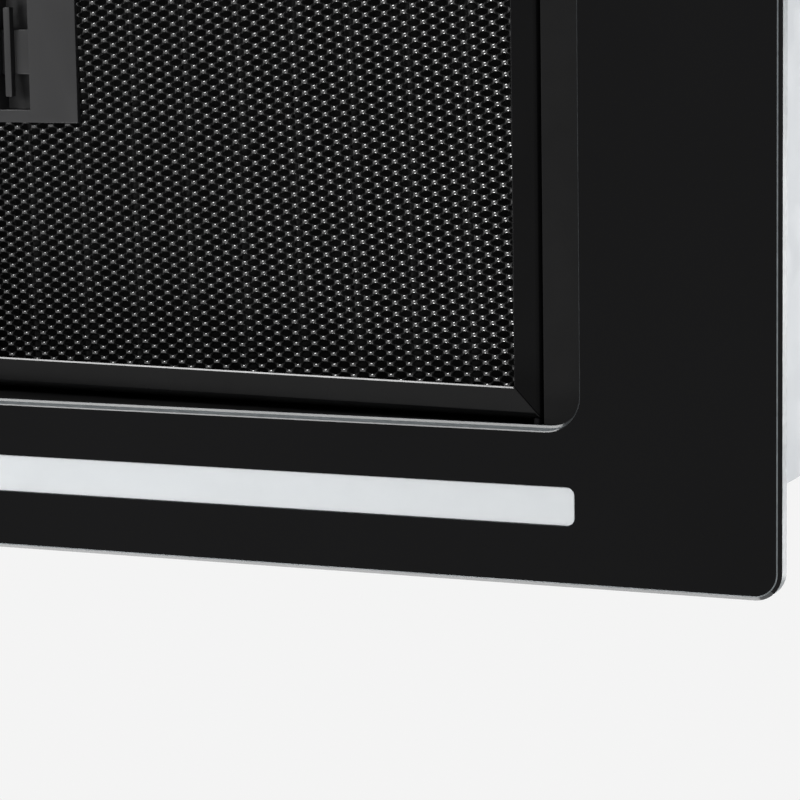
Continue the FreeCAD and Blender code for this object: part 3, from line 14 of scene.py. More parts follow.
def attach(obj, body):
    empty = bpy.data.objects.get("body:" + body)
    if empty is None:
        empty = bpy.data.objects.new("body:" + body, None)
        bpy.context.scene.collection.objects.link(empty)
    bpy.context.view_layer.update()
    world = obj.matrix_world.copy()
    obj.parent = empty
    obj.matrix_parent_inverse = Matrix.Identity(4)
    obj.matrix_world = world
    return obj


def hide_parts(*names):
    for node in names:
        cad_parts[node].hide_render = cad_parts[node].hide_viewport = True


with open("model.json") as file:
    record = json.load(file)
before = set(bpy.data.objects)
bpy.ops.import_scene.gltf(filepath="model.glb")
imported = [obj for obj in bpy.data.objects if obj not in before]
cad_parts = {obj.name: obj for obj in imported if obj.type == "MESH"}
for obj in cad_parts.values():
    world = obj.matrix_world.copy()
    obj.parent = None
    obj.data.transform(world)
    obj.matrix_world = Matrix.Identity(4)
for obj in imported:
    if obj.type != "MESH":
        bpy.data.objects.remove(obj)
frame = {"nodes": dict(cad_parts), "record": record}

LOG = logging.getLogger("range_hood")
MM = 0.001
WELD = 1e-6
# Angles are in degrees, unless their name says radians.
HALF_TURN = 180.0
WHITE = (1.0, 1.0, 1.0, 1.0)
EVEN = (1.0, 1.0, 1.0)
# Finer layers of a cloudy pattern, and the part of its range that most of it fills.
LAYERS = 3.0
MOST = (0.3, 0.7)

Colour = tuple[float, float, float]
Point = tuple[float, float, float]
Span = tuple[float, float]
# Lowest and highest place along x, then along y.
Rect = tuple[float, float, float, float]
Edge = bmesh.types.BMEdge
Face = bmesh.types.BMFace
Vert = bmesh.types.BMVert
Work = bmesh.types.BMesh
Mesh = bpy.types.Mesh
Node = bpy.types.Node
Socket = bpy.types.NodeSocket
Tree = bpy.types.NodeTree
Inputs = dict[str | int, object]


class Body(Enum):
    """The bodies of the hood that carry pieces made here."""

    HOOD = "hood"
    FILTER_LEFT = "filter_left"
    FILTER_RIGHT = "filter_right"
    LATCH_LEFT = "latch_left"
    LATCH_RIGHT = "latch_right"


def add_node(tree: Tree, kind: str, inputs: Inputs, operation: str = "") -> Node:
    """Add a node to a tree.

    Args:
        tree: The tree.
        kind: The node's kind.
        inputs: For each input, by name or number, its value or the socket that feeds it.
        operation: What the node works out, where it offers a choice.

    Returns:
        The node.
    """
    node = tree.nodes.new(f"ShaderNode{kind}")
    if operation:
        node.operation = operation
    for key, value in inputs.items():
        if isinstance(value, Socket):
            tree.links.new(value, node.inputs[key])
        else:
            node.inputs[key].default_value = value
    return node


def shown_rays(tree: Tree) -> Socket:
    """Tell apart the rays that show the studio from those that only light the hood.

    Args:
        tree: The node tree that needs to know.

    Returns:
        A socket that is 1 for rays from the camera, off gloss and through glass, else 0.
    """
    rays = add_node(tree, "LightPath", {})
    seen = rays.outputs["Is Camera Ray"]
    for name in ("Is Glossy Ray", "Is Transmission Ray"):
        seen = add_node(tree, "Math", {0: seen, 1: rays.outputs[name]}, "MAXIMUM").outputs["Value"]
    return seen


def shade(colour: Colour, share: float) -> Colour:
    """Make a colour darker or lighter."""
    return tuple(part * share for part in colour)


class Surface:
    """The node tree of one material while it is being laid out."""

    def __init__(self, name: str) -> None:
        """Start a material that has only its main shader.

        Args:
            name: The material's name.
        """
        self.material = bpy.data.materials.new(name)
        self.material.use_nodes = True
        self.tree = self.material.node_tree
        self.shader = self.tree.nodes["Principled BSDF"]
        self.place = self.add("TexCoord", {}).outputs["Object"]

    def add(self, kind: str, inputs: Inputs, operation: str = "") -> Node:
        """Add a node to the material's tree."""
        return add_node(self.tree, kind, inputs, operation)

    def feed(self, source: Socket, socket: str) -> None:
        """Link a pattern to one of the shader's sockets."""
        self.tree.links.new(source, self.shader.inputs[socket])

    def set(self, **values: object) -> None:
        """Set constants on the shader's own sockets.

        Args:
            **values: Socket names in lower case with underscores, and their values.
        """
        names = {socket.name.lower().replace(" ", "_"): socket.name for socket in self.shader.inputs}
        for key, value in values.items():
            self.shader.inputs[names[key]].default_value = value

    def spot(self, stretch: Point = EVEN) -> Socket:
        """Give the place on the object, stretched along each axis."""
        return self.add("Mapping", {"Vector": self.place, "Scale": stretch}).outputs["Vector"]

    def noise(self, scale: float, detail: float = LAYERS, stretch: Point = EVEN) -> Socket:
        """Give a cloudy pattern by its lumps per metre and its number of finer layers."""
        inputs = {"Vector": self.spot(stretch), "Scale": scale, "Detail": detail}
        return self.add("TexNoise", inputs).outputs["Fac"]

    def cells(self, scale: float, output: str, stretch: Point = EVEN) -> Socket:
        """Give one of the outputs of a pattern of irregular cells, by the cells per metre."""
        return self.add("TexVoronoi", {"Vector": self.spot(stretch), "Scale": scale}).outputs[output]

    def spread(self, source: Socket, low: float, high: float, span: Span) -> Socket:
        """Turn a pattern's own span into a range of numbers."""
        inputs = {"Value": source, "From Min": span[0], "From Max": span[1], "To Min": low, "To Max": high}
        return self.add("MapRange", inputs).outputs["Result"]

    def tint(self, source: Socket, low: Colour, high: Colour, span: Span) -> None:
        """Colour the surface by a pattern.

        Args:
            source: The pattern.
            low: Colour at the pattern's low end.
            high: Colour at the pattern's high end.
            span: The pattern's own low and high end.
        """
        node = self.add("ValToRGB", {"Fac": source})
        for element, place, colour in zip(node.color_ramp.elements, span, (low, high)):
            element.position = place
            element.color = (*colour, 1.0)
        self.feed(node.outputs["Color"], "Base Color")

    def paint(self, source: Socket, colour: Colour, change: float) -> None:
        """Colour the surface by a pattern, from a share below a colour to the same share above it."""
        self.tint(source, shade(colour, 1.0 - change), shade(colour, 1.0 + change), MOST)

    def gloss(self, source: Socket, roughness: float, shares: Span, span: Span = MOST) -> None:
        """Vary the roughness by a pattern, from its lowest to its highest share."""
        self.feed(self.spread(source, roughness * shares[0], roughness * shares[1], span), "Roughness")

    def relief(self, source: Socket, depth: float, strength: float = 1.0) -> None:
        """Raise the surface by a pattern, up to a depth in metres."""
        node = self.add("Bump", {"Height": source, "Distance": depth, "Strength": strength})
        self.feed(node.outputs["Normal"], "Normal")


@dataclass(frozen=True)
class Finish:
    """What a piece's surface is made of; scales are in lumps or cells per metre, depths in metres."""

    name: str
    colour: Colour
    roughness: float

    def material(self) -> bpy.types.Material:
        """Give the finish's material, which is made at its first use.

        Returns:
            The material.
        """
        name = f"{self.name}_finish"
        made = bpy.data.materials.get(name)
        if made is None:
            surface = Surface(name)
            self.lay(surface)
            made = surface.material
        return made

    def lay(self, surface: Surface) -> None:
        """Lay the finish's nodes, which each kind of finish does in its own way."""
        raise NotImplementedError


@dataclass(frozen=True)
class Coat(Finish):
    """A coat or skin with clouds in its colour, changes of its sheen and, where that has a depth, a grain.

    Clouds and sheen are given by their lumps per metre and their number of finer layers.
    """

    clouds: Span
    change: float
    sheen: Span
    sheen_shares: Span
    grain: float = 0.0
    grain_scale: float = 900.0
    grain_layers: float = 2.0
    grain_strength: float = 1.0
    shine: float = 0.5

    def lay(self, surface: Surface) -> None:
        """Lay the clouds, the sheen and the grain."""
        surface.paint(surface.noise(*self.clouds), self.colour, self.change)
        surface.gloss(surface.noise(*self.sheen), self.roughness, self.sheen_shares)
        if self.grain:
            grain = surface.noise(self.grain_scale, self.grain_layers)
            surface.relief(grain, self.grain, self.grain_strength)
        surface.set(specular_ior_level=self.shine)


@dataclass(frozen=True)
class Paint(Coat):
    """Sprayed paint on sheet metal, with a faint orange peel and any lacquer over it."""

    clouds: Span = (35.0, 4.0)
    change: float = 0.12
    sheen: Span = (160.0, 3.0)
    sheen_shares: Span = (0.88, 1.12)
    grain: float = 0.00002
    lacquer: float = 0.0
    lacquer_roughness: float = 0.06

    def lay(self, surface: Surface) -> None:
        """Lay the paint and the lacquer."""
        super().lay(surface)
        surface.set(coat_weight=self.lacquer, coat_roughness=self.lacquer_roughness)


@dataclass(frozen=True)
class PaintedGlass(Coat):
    """Glass with black paint behind it, polished or ground."""

    clouds: Span = (9.0, 3.0)
    change: float = 0.2
    sheen: Span = (22.0, 3.0)
    sheen_shares: Span = (0.85, 1.15)


@dataclass(frozen=True)
class Moulded(Coat):
    """Moulded plastic with flow clouds and a fine spark-eroded grain."""

    clouds: Span = (14.0, 3.0)
    change: float = 0.06
    sheen: Span = (90.0, 3.0)
    sheen_shares: Span = (0.9, 1.1)
    grain: float = 0.00003
    grain_scale: float = 1600.0
    grain_strength: float = 0.7


@dataclass(frozen=True)
class Opal(Coat):
    """Milky plastic with a faint mottle, which spreads light under its satin skin."""

    clouds: Span = (60.0, 3.0)
    change: float = 0.02
    sheen: Span = (300.0, 2.0)
    sheen_shares: Span = (0.9, 1.1)
    milk: float = 0.25
    milk_depth: float = 0.003

    def lay(self, surface: Surface) -> None:
        """Lay the skin and the milk under it."""
        super().lay(surface)
        surface.set(subsurface_weight=self.milk, subsurface_radius=EVEN, subsurface_scale=self.milk_depth)


@dataclass(frozen=True)
class Plaster(Finish):
    """Pale studio floor, which shows brighter than it lights the hood and is clear from below."""

    mottle_scale: float = 3.0
    mottle: float = 0.02
    lift: float = 0.36
    far_lift: float = 0.74
    sweep: Span = (2.4, 5.5)

    def lay(self, surface: Surface) -> None:
        """Lay a faint mottle, and the lift for rays that show the floor, which grows towards its far end."""
        surface.paint(surface.noise(self.mottle_scale), self.colour, self.mottle)
        surface.set(roughness=self.roughness, emission_color=WHITE)
        away = surface.add("VectorMath", {0: surface.spot()}, "LENGTH").outputs["Value"]
        lift = surface.spread(away, self.lift, self.far_lift, self.sweep)
        shown = surface.add("Math", {0: shown_rays(surface.tree), 1: lift}, "MULTIPLY")
        surface.feed(shown.outputs["Value"], "Emission Strength")
        below = surface.add("NewGeometry", {}).outputs["Backfacing"]
        clear = surface.add("BsdfTransparent", {}).outputs["BSDF"]
        mix = surface.add("MixShader", {"Fac": below, 1: surface.shader.outputs["BSDF"], 2: clear})
        surface.tree.links.new(mix.outputs["Shader"], surface.tree.nodes["Material Output"].inputs["Surface"])


@dataclass(frozen=True)
class ZincSheet(Finish):
    """Hot dipped zinc on sheet steel, with its frost flowers."""

    flower_scale: float = 105.0
    flower_span: Span = (0.15, 0.85)
    tone_shares: Span = (0.93, 1.05)
    gloss_shares: Span = (0.93, 1.08)
    grain_scale: float = 240.0
    grain: float = 0.00003
    grain_strength: float = 0.6
    metallic: float = 0.6

    def lay(self, surface: Surface) -> None:
        """Lay flowers that differ in tone and gloss, and fine grain in each."""
        flowers = surface.cells(self.flower_scale, "Color")
        tone = surface.add("RGBToBW", {"Color": flowers}).outputs["Val"]
        surface.tint(tone, *(shade(self.colour, share) for share in self.tone_shares), self.flower_span)
        surface.gloss(tone, self.roughness, self.gloss_shares, self.flower_span)
        surface.relief(surface.noise(self.grain_scale), self.grain, self.grain_strength)
        surface.set(metallic=self.metallic)


@dataclass(frozen=True)
class DrawnMetal(Finish):
    """Bare metal with fine lines along the way it was drawn, rolled or turned."""

    lines: Point = (3.0, 260.0, 260.0)
    line_scale: float = 8.0
    change: float = 0.1
    gloss_shares: Span = (0.8, 1.2)
    depth: float = 0.00002
    depth_strength: float = 0.5
    metallic: float = 0.95

    def lay(self, surface: Surface) -> None:
        """Lay the lines in tone, gloss and relief."""
        lines = surface.noise(self.line_scale, stretch=self.lines)
        surface.paint(lines, self.colour, self.change)
        surface.gloss(lines, self.roughness, self.gloss_shares)
        surface.relief(lines, self.depth, self.depth_strength)
        surface.set(metallic=self.metallic)


@dataclass(frozen=True)
class FoamTape(Finish):
    """Foam tape with open pores."""

    pore_scale: float = 1400.0
    pore_depth: float = 0.00015
    change: float = 0.35

    def lay(self, surface: Surface) -> None:
        """Lay the pores, sunk by relief and painted darker in their middles and lighter at their rims as
        painted shade.
        """
        pores = surface.cells(self.pore_scale, "Distance")
        surface.paint(pores, self.colour, self.change)
        surface.relief(pores, self.pore_depth)
        surface.set(roughness=self.roughness)


@dataclass(frozen=True)
class Laminate(Finish):
    """Circuit board: solder mask over copper tracks."""

    track_colour: Colour = (0.05, 0.19, 0.08)
    track_scale: float = 55.0
    track_width: float = 0.045
    track_height: float = 0.00004
    board_tones: Span = (0.0, 0.12)

    def lay(self, surface: Surface) -> None:
        """Lay tracks as slightly raised paler lanes under the mask."""
        tones = [(tone, tone, tone, 1.0) for tone in self.board_tones]
        lanes = surface.add("TexBrick", {
            "Vector": surface.spot(), "Scale": self.track_scale, "Mortar Size": self.track_width,
            "Color1": tones[0], "Color2": tones[1], "Mortar": WHITE}).outputs["Color"]
        surface.tint(lanes, self.colour, self.track_colour, (0.0, 1.0))
        surface.relief(lanes, self.track_height)
        surface.set(roughness=self.roughness)


@dataclass(frozen=True)
class Knit(Finish):
    """Layers of fine expanded mesh, seen as dark crossing strands."""

    strand_scale: float = 340.0
    strand_stretch: Point = (0.55, 1.0, 1.0)
    gap_span: Span = (0.25, 0.55)
    gap_shade_share: float = 0.15
    gap_depth: float = 0.0004
    shine: float = 0.15

    def lay(self, surface: Surface) -> None:
        """Lay the strands by relief, and paint the openings between them darker as painted shade."""
        gaps = surface.cells(self.strand_scale, "Distance", self.strand_stretch)
        surface.tint(gaps, self.colour, shade(self.colour, self.gap_shade_share), self.gap_span)
        surface.relief(gaps, -self.gap_depth)
        surface.set(roughness=self.roughness, specular_ior_level=self.shine)


BLACK_GLASS = PaintedGlass("black_glass", (0.0022, 0.0022, 0.0026), 0.05, shine=0.13)
GLASS_BEVEL = PaintedGlass("glass_bevel", (0.035, 0.038, 0.04), 0.14, (300.0, 3.0))
GLASS_EDGE = PaintedGlass("glass_edge", (0.2, 0.22, 0.23), 0.4, (420.0, 3.0), shine=0.25)
OPAL_PLASTIC = Opal("opal_plastic", (0.79, 0.82, 0.84), 0.38)
TRAY_PAINT = Paint("tray_paint", (0.007, 0.007, 0.0072), 0.42, shine=0.13)
# One frame paint in two copies as painted light and shade: lighter and shinier on the long rails, darker and
# duller on the end rails.
LIT_LONG_RAIL_PAINT = Paint("long_rail_paint", (0.0065, 0.0065, 0.0068), 0.24, grain=0.00001, grain_scale=1100.0,
                        shine=0.23)
SHADED_END_RAIL_PAINT = Paint("end_rail_paint", (0.0045, 0.0045, 0.0047), 0.24, grain=0.00001, grain_scale=1100.0,
                       shine=0.07)
LIP_PAINT = Paint("lip_paint", (0.006, 0.006, 0.0063), 0.2, grain=0.000004, grain_scale=700.0)
# One black mesh paint in two copies as painted light and shade: darker and duller on the strands, lighter,
# glossier and lacquered on the knuckles.
SHADED_STRAND_PAINT = Paint("mesh_paint", (0.003, 0.003, 0.0031), 0.4, grain=0.000003, grain_scale=1500.0, shine=0.1)
LIT_KNUCKLE_PAINT = Paint("knuckle_paint", (0.006, 0.006, 0.0062), 0.085, grain=0.000002, grain_scale=330.0,
                      shine=1.0, lacquer=1.0)
PACK_MESH = Knit("pack_mesh", (0.003, 0.003, 0.003), 0.7)
LATCH_PLASTIC = Moulded("latch_plastic", (0.02, 0.02, 0.021), 0.42)
SPRING_STEEL = DrawnMetal("spring_steel", (0.42, 0.43, 0.45), 0.3, (260.0, 260.0, 3.0))
CLIP_STEEL = DrawnMetal("clip_steel", (0.3, 0.305, 0.315), 0.6, (260.0, 260.0, 3.0), metallic=0.6)
ZINC_STEEL = ZincSheet("zinc_steel", (0.42, 0.436, 0.452), 0.66)
ALUMINIUM = DrawnMetal("aluminium", (0.72, 0.73, 0.74), 0.3)
CIRCUIT_BOARD = Laminate("circuit_board", (0.012, 0.1, 0.04), 0.3)
TOUCH_BOARD = Laminate("touch_laminate", (0.012, 0.012, 0.013), 0.35, (0.035, 0.036, 0.038))
BOND_TAPE = FoamTape("bond_tape", (0.02, 0.02, 0.02), 0.9)
GREY_PLASTIC = Moulded("grey_plastic", (0.16, 0.165, 0.17), 0.5)
BLACK_PLASTIC = Moulded("black_plastic", (0.022, 0.022, 0.024), 0.46)
MOTOR_METAL = DrawnMetal("motor_metal", (0.38, 0.39, 0.41), 0.4, (400.0, 6.0, 6.0))
DARK_RUBBER = Moulded("dark_rubber", (0.02, 0.02, 0.02), 0.7, grain=0.00006, grain_scale=700.0)
BLACK_STEEL = DrawnMetal("black_steel", (0.03, 0.03, 0.032), 0.4, (60.0, 60.0, 60.0))
SCREW_STEEL = DrawnMetal("screw_steel", (0.55, 0.56, 0.57), 0.28, (60.0, 60.0, 60.0))
COMPONENT_PLASTIC = Moulded("component_plastic", (0.05, 0.055, 0.09), 0.4)
WHITE_PLASTIC = Moulded("white_plastic", (0.72, 0.72, 0.7), 0.55, shine=0.25)


def dress(finish: Finish, *nodes: str) -> None:
    """Give carried-over nodes a finish.

    Args:
        finish: The finish.
        *nodes: Names of the nodes.
    """
    for node in nodes:
        for slot in frame["nodes"][node].material_slots:
            slot.material = finish.material()
        LOG.info("%s dressed in %s", node, finish.name)


def add_object(name: str, data: bpy.types.ID) -> bpy.types.Object:
    """Put an object into the scene.

    Args:
        name: The object's name.
        data: Its mesh, lamp or camera.

    Returns:
        The object.
    """
    made = bpy.data.objects.new(name, data)
    bpy.context.scene.collection.objects.link(made)
    return made


def new_piece(name: str, mesh: Mesh, body: Body, slot: str, *replaced: str) -> None:
    """Put a mesh into the scene as a piece of the hood.

    Args:
        name: The piece's name.
        mesh: Its mesh.
        body: The body that carries it.
        slot: The record's finish slot; not used.
        *replaced: The nodes that it stands for.
    """
    piece = add_object(name, mesh)
    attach(piece, body.value)
    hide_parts(*replaced)
    LOG.info("%s made for %s", name, ", ".join(replaced))


def finish_mesh(name: str, work: Work, *finishes: Finish, crease: float = 35.0) -> Mesh:
    """Turn mesh work into a smooth-shaded mesh with sharp creases.

    Args:
        name: The mesh's name.
        work: The finished mesh work, which is freed.
        *finishes: The finishes that it gets, in the order of its faces' numbers.
        crease: Angle in degrees from which an edge stays sharp.

    Returns:
        The mesh.
    """
    bmesh.ops.recalc_face_normals(work, faces=work.faces)
    for face in work.faces:
        face.smooth = True
    for edge in work.edges:
        edge.smooth = len(edge.link_faces) == 2 and edge.calc_face_angle() < math.radians(crease)
    mesh = bpy.data.meshes.new(name)
    work.to_mesh(mesh)
    work.free()
    for finish in finishes:
        mesh.materials.append(finish.material())
    return mesh


def node_work(node: str) -> Work:
    """Start mesh work from a carried-over node, with its doubled points welded.

    Args:
        node: The node's name.

    Returns:
        The mesh work.
    """
    work = bmesh.new()
    work.from_mesh(frame["nodes"][node].data)
    bmesh.ops.remove_doubles(work, verts=work.verts, dist=WELD)
    return work


def band(work: Work, near: list[Vert], far: list[Vert]) -> list[Face]:
    """Join two closed rings of points by a band of quads."""
    return [work.faces.new(quad) for quad in zip(near, near[1:] + near[:1], far[1:] + far[:1], far)]


def loop_edges(work: Work, ring: list[Vert]) -> list[Edge]:
    """Give the edges of a closed ring of points, and make those that are missing."""
    return [work.edges.get(pair) or work.edges.new(pair) for pair in zip(ring, ring[1:] + ring[:1])]


def arc(middle: Span, radius: float, start: float, end: float, steps: int) -> list[Span]:
    """Give points on an arc, from one angle in degrees to another."""
    angles = [math.radians(start + (end - start) * i / steps) for i in range(steps + 1)]
    return [(middle[0] + radius * math.cos(a), middle[1] + radius * math.sin(a)) for a in angles]


def circle(radius: float, steps: int) -> list[Span]:
    """Give points on a whole circle about the origin."""
    return arc((0.0, 0.0), radius, 0.0, 2.0 * HALF_TURN, steps)[:-1]


@dataclass(frozen=True)
class EdgeBreak:
    """Breaks the sharp edges of carried-over nodes as a press, a mould or a paint coat does, in millimetres.

    A recess, given by its margin and its depth, is sunk into the top of those that have one.
    """

    width: float
    recess: Span | None = None
    shortest: float = 2.0
    sharp: float = 50.0
    flat: float = 0.5
    level: float = 0.99
    steps: int = 2
    roundness: float = 0.5

    def sink(self, work: Work, margin: float, depth: float) -> None:
        """Sink a recess with sloping sides into the largest face on top.

        Args:
            work: The mesh work.
            margin: Width of the rim that stays.
            depth: How deep the recess is.
        """
        work.normal_update()
        level = [face for face in work.faces if face.normal.z > self.level]
        top = max(level, key=lambda face: face.calc_area())
        bmesh.ops.inset_individual(work, faces=[top], thickness=margin * MM, depth=0.0)
        bmesh.ops.inset_individual(work, faces=[top], thickness=depth * MM, depth=-depth * MM)

    def apply(self, finish: Finish, *nodes: str) -> None:
        """Put a copy with broken edges in the place of each node.

        Args:
            finish: The finish that the copies get.
            *nodes: Names of the nodes.
        """
        record = frame["record"]
        slots = {row["node"]: row["material_slot"] for row in record["subparts"]}
        carriers = {node: body for body, held in record["behaviour"]["bodies"].items() for node in held}
        for node in nodes:
            work = node_work(node)
            bmesh.ops.dissolve_limit(work, angle_limit=math.radians(self.flat), verts=work.verts,
                                     edges=work.edges)
            if self.recess:
                self.sink(work, *self.recess)
            edges = [edge for edge in work.edges if edge.calc_length() > self.shortest * MM
                     and edge.calc_face_angle(0.0) > math.radians(self.sharp)]
            bmesh.ops.bevel(work, geom=edges, offset=self.width * MM, offset_type="OFFSET",
                            segments=self.steps, profile=self.roundness, clamp_overlap=True, affect="EDGES")
            name = f"{node}_edged"
            new_piece(name, finish_mesh(name, work, finish), Body(carriers[node]), slots[node], node)


SHEET_EDGE = EdgeBreak(0.5)
MOULD_EDGE = EdgeBreak(0.8)
RECESSED_EDGE = EdgeBreak(0.8, (5.0, 0.7))
SMALL_EDGE = EdgeBreak(0.35)


@dataclass
class PhotoCamera:
    """Camera below the hood's left side, looking up at the front left corner of the glass."""

    place: Point = (-0.5363, 0.0336, -0.839)
    right: Point = (-0.9154, -0.0159, 0.4023)
    up: Point = (0.0431, 0.9896, 0.1372)
    lens: float = 141.0
    sensor: float = 36.0
    reach: Span = (0.01, 60.0)

    def build(self) -> None:
        """Make the camera and choose it for the scene."""
        data = bpy.data.cameras.new("photo_camera")
        data.lens = self.lens
        data.sensor_width = self.sensor
        data.clip_start, data.clip_end = self.reach
        camera = add_object("photo_camera", data)
        right = Vector(self.right).normalized()
        back = right.cross(Vector(self.up)).normalized()
        axes = Matrix((right, back.cross(right), back)).transposed()
        camera.matrix_world = Matrix.Translation(self.place) @ axes.to_4x4()
        bpy.context.scene.camera = camera
        LOG.info("camera placed")


@dataclass(frozen=True)
class Lamp:
    """A soft box, with a grid where its light fans out by less than a half turn.

    Its glow is how bright its face shows, which a narrower fan leaves as it is.
    """

    name: str
    place: Point
    aim: Point
    size: Span
    glow: float
    fan: float = HALF_TURN

    def build(self) -> None:
        """Hang the soft box, its long side level, and turn it to its aim."""
        data = bpy.data.lights.new(self.name, "AREA")
        data.shape = "RECTANGLE"
        data.size, data.size_y = self.size
        half = math.radians(self.fan) / 2.0
        gain = math.tan(half) / (math.tan(half) - half) if self.fan < HALF_TURN else 1.0
        data.spread = 2.0 * half
        data.energy = self.glow * math.pi * self.size[0] * self.size[1] / gain
        lamp = add_object(self.name, data)
        lamp.location = self.place
        lamp.rotation_euler = (Vector(self.aim) - Vector(self.place)).to_track_quat("-Z", "Y").to_euler()
        lamp.visible_camera = False


@dataclass
class Studio:
    """Pale floor far below the hood, pale surroundings and soft boxes."""

    floor_level: float = -1.5
    floor_half: float = 12.0
    floor_parts: int = 8
    floor_finish: Finish = Plaster("floor_plaster", (0.82, 0.82, 0.82), 0.95)
    ambient: float = 0.12
    backdrop: float = 0.905
    lamps: tuple[Lamp, ...] = (
        Lamp("rear_low_box", (0.7, 0.97, -0.68), (-0.12, -0.05, 0.0), (0.6, 0.32), 18.0, 90.0),
        Lamp("rear_box", (0.5, 1.1, -0.14), (-0.12, -0.05, 0.0), (0.8, 0.3), 8.0, 100.0),
        Lamp("front_low_box", (0.27, -1.15, -0.72), (-0.12, -0.05, 0.0), (0.5, 0.32), 27.5, 80.0),
        Lamp("front_box", (0.36, -1.4, 0.22), (-0.12, -0.1, 0.05), (1.0, 0.24), 4.5, 100.0),
        Lamp("side_box", (-1.6, 0.1, 0.2), (-0.25, 0.0, 0.1), (0.9, 0.6), 11.0, 80.0),
        Lamp("top_left_box", (-0.9, -0.4, 2.2), (0.0, 0.0, 0.1), (0.9, 0.9), 5.0),
        Lamp("top_right_box", (1.8, -0.8, 3.2), (0.6, -0.2, 0.0), (2.4, 2.4), 4.5))

    def build(self) -> None:
        """Make the floor, the surroundings and the lamps."""
        self.make_floor()
        self.make_surroundings()
        for lamp in self.lamps:
            lamp.build()
        bpy.context.scene.view_settings.view_transform = "Standard"
        LOG.info("studio set with %d soft boxes", len(self.lamps))

    def make_floor(self) -> None:
        """Make the floor, with its upper side up."""
        work = bmesh.new()
        parts = self.floor_parts
        bmesh.ops.create_grid(work, x_segments=parts, y_segments=parts, size=self.floor_half)
        bmesh.ops.translate(work, verts=work.verts, vec=(0.0, 0.0, self.floor_level))
        mesh = finish_mesh("floor", work, self.floor_finish)
        if mesh.polygons[0].normal.z < 0.0:
            mesh.flip_normals()
        floor = add_object("floor", mesh)

    def make_surroundings(self) -> None:
        """Make pale surroundings, which light the hood less than they show."""
        world = bpy.data.worlds.new("studio_air")
        world.use_nodes = True
        bpy.context.scene.world = world
        tree = world.node_tree
        tree.nodes.remove(tree.nodes["Background"])
        shades = [add_node(tree, "Background", {"Color": WHITE, "Strength": strength}).outputs["Background"]
                  for strength in (self.ambient, self.backdrop)]
        mix = add_node(tree, "MixShader", {"Fac": shown_rays(tree), 1: shades[0], 2: shades[1]})
        tree.links.new(mix.outputs["Shader"], tree.nodes["World Output"].inputs["Surface"])


class GlassFace(Enum):
    """The kinds of face on the glass panel, in the order of their finishes."""

    FLAT = 0
    BEVEL = 1
    EDGE = 2


@dataclass(frozen=True)
class Contour:
    """A rounded rectangle through the glass, in millimetres.

    Its rings go from the lower to the upper face: how far each lies outside the rectangle, its height, and
    the kind of face that goes from it to the next one.
    """

    box: Rect
    corner: float
    rings: tuple[tuple[float, float, GlassFace], ...]
    corner_steps: int = 10

    def ring(self, work: Work, grow: float, height: float) -> list[Vert]:
        """Add the points of a ring.

        Args:
            work: The mesh work.
            grow: How far the ring lies outside the rectangle.
            height: Its height.

        Returns:
            The points in order.
        """
        left, right = self.box[0] + self.corner, self.box[1] - self.corner
        front, rear = self.box[2] + self.corner, self.box[3] - self.corner
        points = []
        for turn, middle in enumerate(((right, rear), (left, rear), (left, front), (right, front))):
            points += arc(middle, self.corner + grow, 90.0 * turn, 90.0 * (turn + 1), self.corner_steps)
        return [work.verts.new(Vector((*point, height)) * MM) for point in points]


@dataclass
class GlassPanel:
    """Black glass with polished bevels, the filters' opening and the light's slot, in millimetres."""

    outside: Contour = Contour((-285.0, 285.0, -150.0, 150.0), 8.0, (
        (-1.4, -9.0, GlassFace.EDGE), (-1.05, -8.85, GlassFace.BEVEL), (0.0, -7.8, GlassFace.EDGE),
        (0.0, -3.6, GlassFace.EDGE), (-0.6, -3.0, GlassFace.EDGE)))
    opening: Contour = Contour((-224.5, 224.5, -104.0, 110.0), 10.0, (
        (0.9, -9.0, GlassFace.BEVEL), (0.6, -8.7, GlassFace.EDGE), (0.3, -4.6, GlassFace.BEVEL),
        (-0.3, -4.0, GlassFace.EDGE), (-0.3, -3.4, GlassFace.EDGE), (0.1, -3.0, GlassFace.EDGE)))
    slot: Contour = Contour((-223.5, 223.5, -132.0, -120.5), 2.5, (
        (0.0, -9.0, GlassFace.EDGE), (0.0, -3.0, GlassFace.EDGE)))
    crease: float = 15.0

    def build(self) -> None:
        """Make the panel from its three contours; the bevels of its two ends get the face's dark finish as
        painted shade, the front and rear bevels the paler bevel finish.
        """
        work = bmesh.new()
        lower, upper = [], []
        for contour in (self.outside, self.opening, self.slot):
            rings = [contour.ring(work, grow, height) for grow, height, _ in contour.rings]
            for low, high, (_, _, kind) in zip(rings, rings[1:], contour.rings):
                for face in band(work, low, high):
                    face.normal_update()
                    # Painted shade: the outer bevels at the two ends get the dark face finish instead of the
                    # bevel finish.
                    at_end = contour is self.outside and abs(face.normal.x) > abs(face.normal.y)
                    black = at_end and kind is GlassFace.BEVEL
                    face.material_index = (GlassFace.FLAT if black else kind).value
            lower += loop_edges(work, rings[0])
            upper += loop_edges(work, rings[-1])
        for edges in (lower, upper):
            bmesh.ops.triangle_fill(work, edges=edges, use_beauty=True)
        mesh = finish_mesh("glass_sheet", work, BLACK_GLASS, GLASS_BEVEL, GLASS_EDGE, crease=self.crease)
        new_piece("glass_sheet", mesh, Body.HOOD, "black_glass", "glass_panel")


class Underside:
    """The tape and the tray behind the glass, and the bar between the filters."""

    def dress(self) -> None:
        """Give the underside its finishes."""
        dress(BOND_TAPE, "glass_bond_tape")
        SHEET_EDGE.apply(TRAY_PAINT, "filter_tray", "centre_bar")


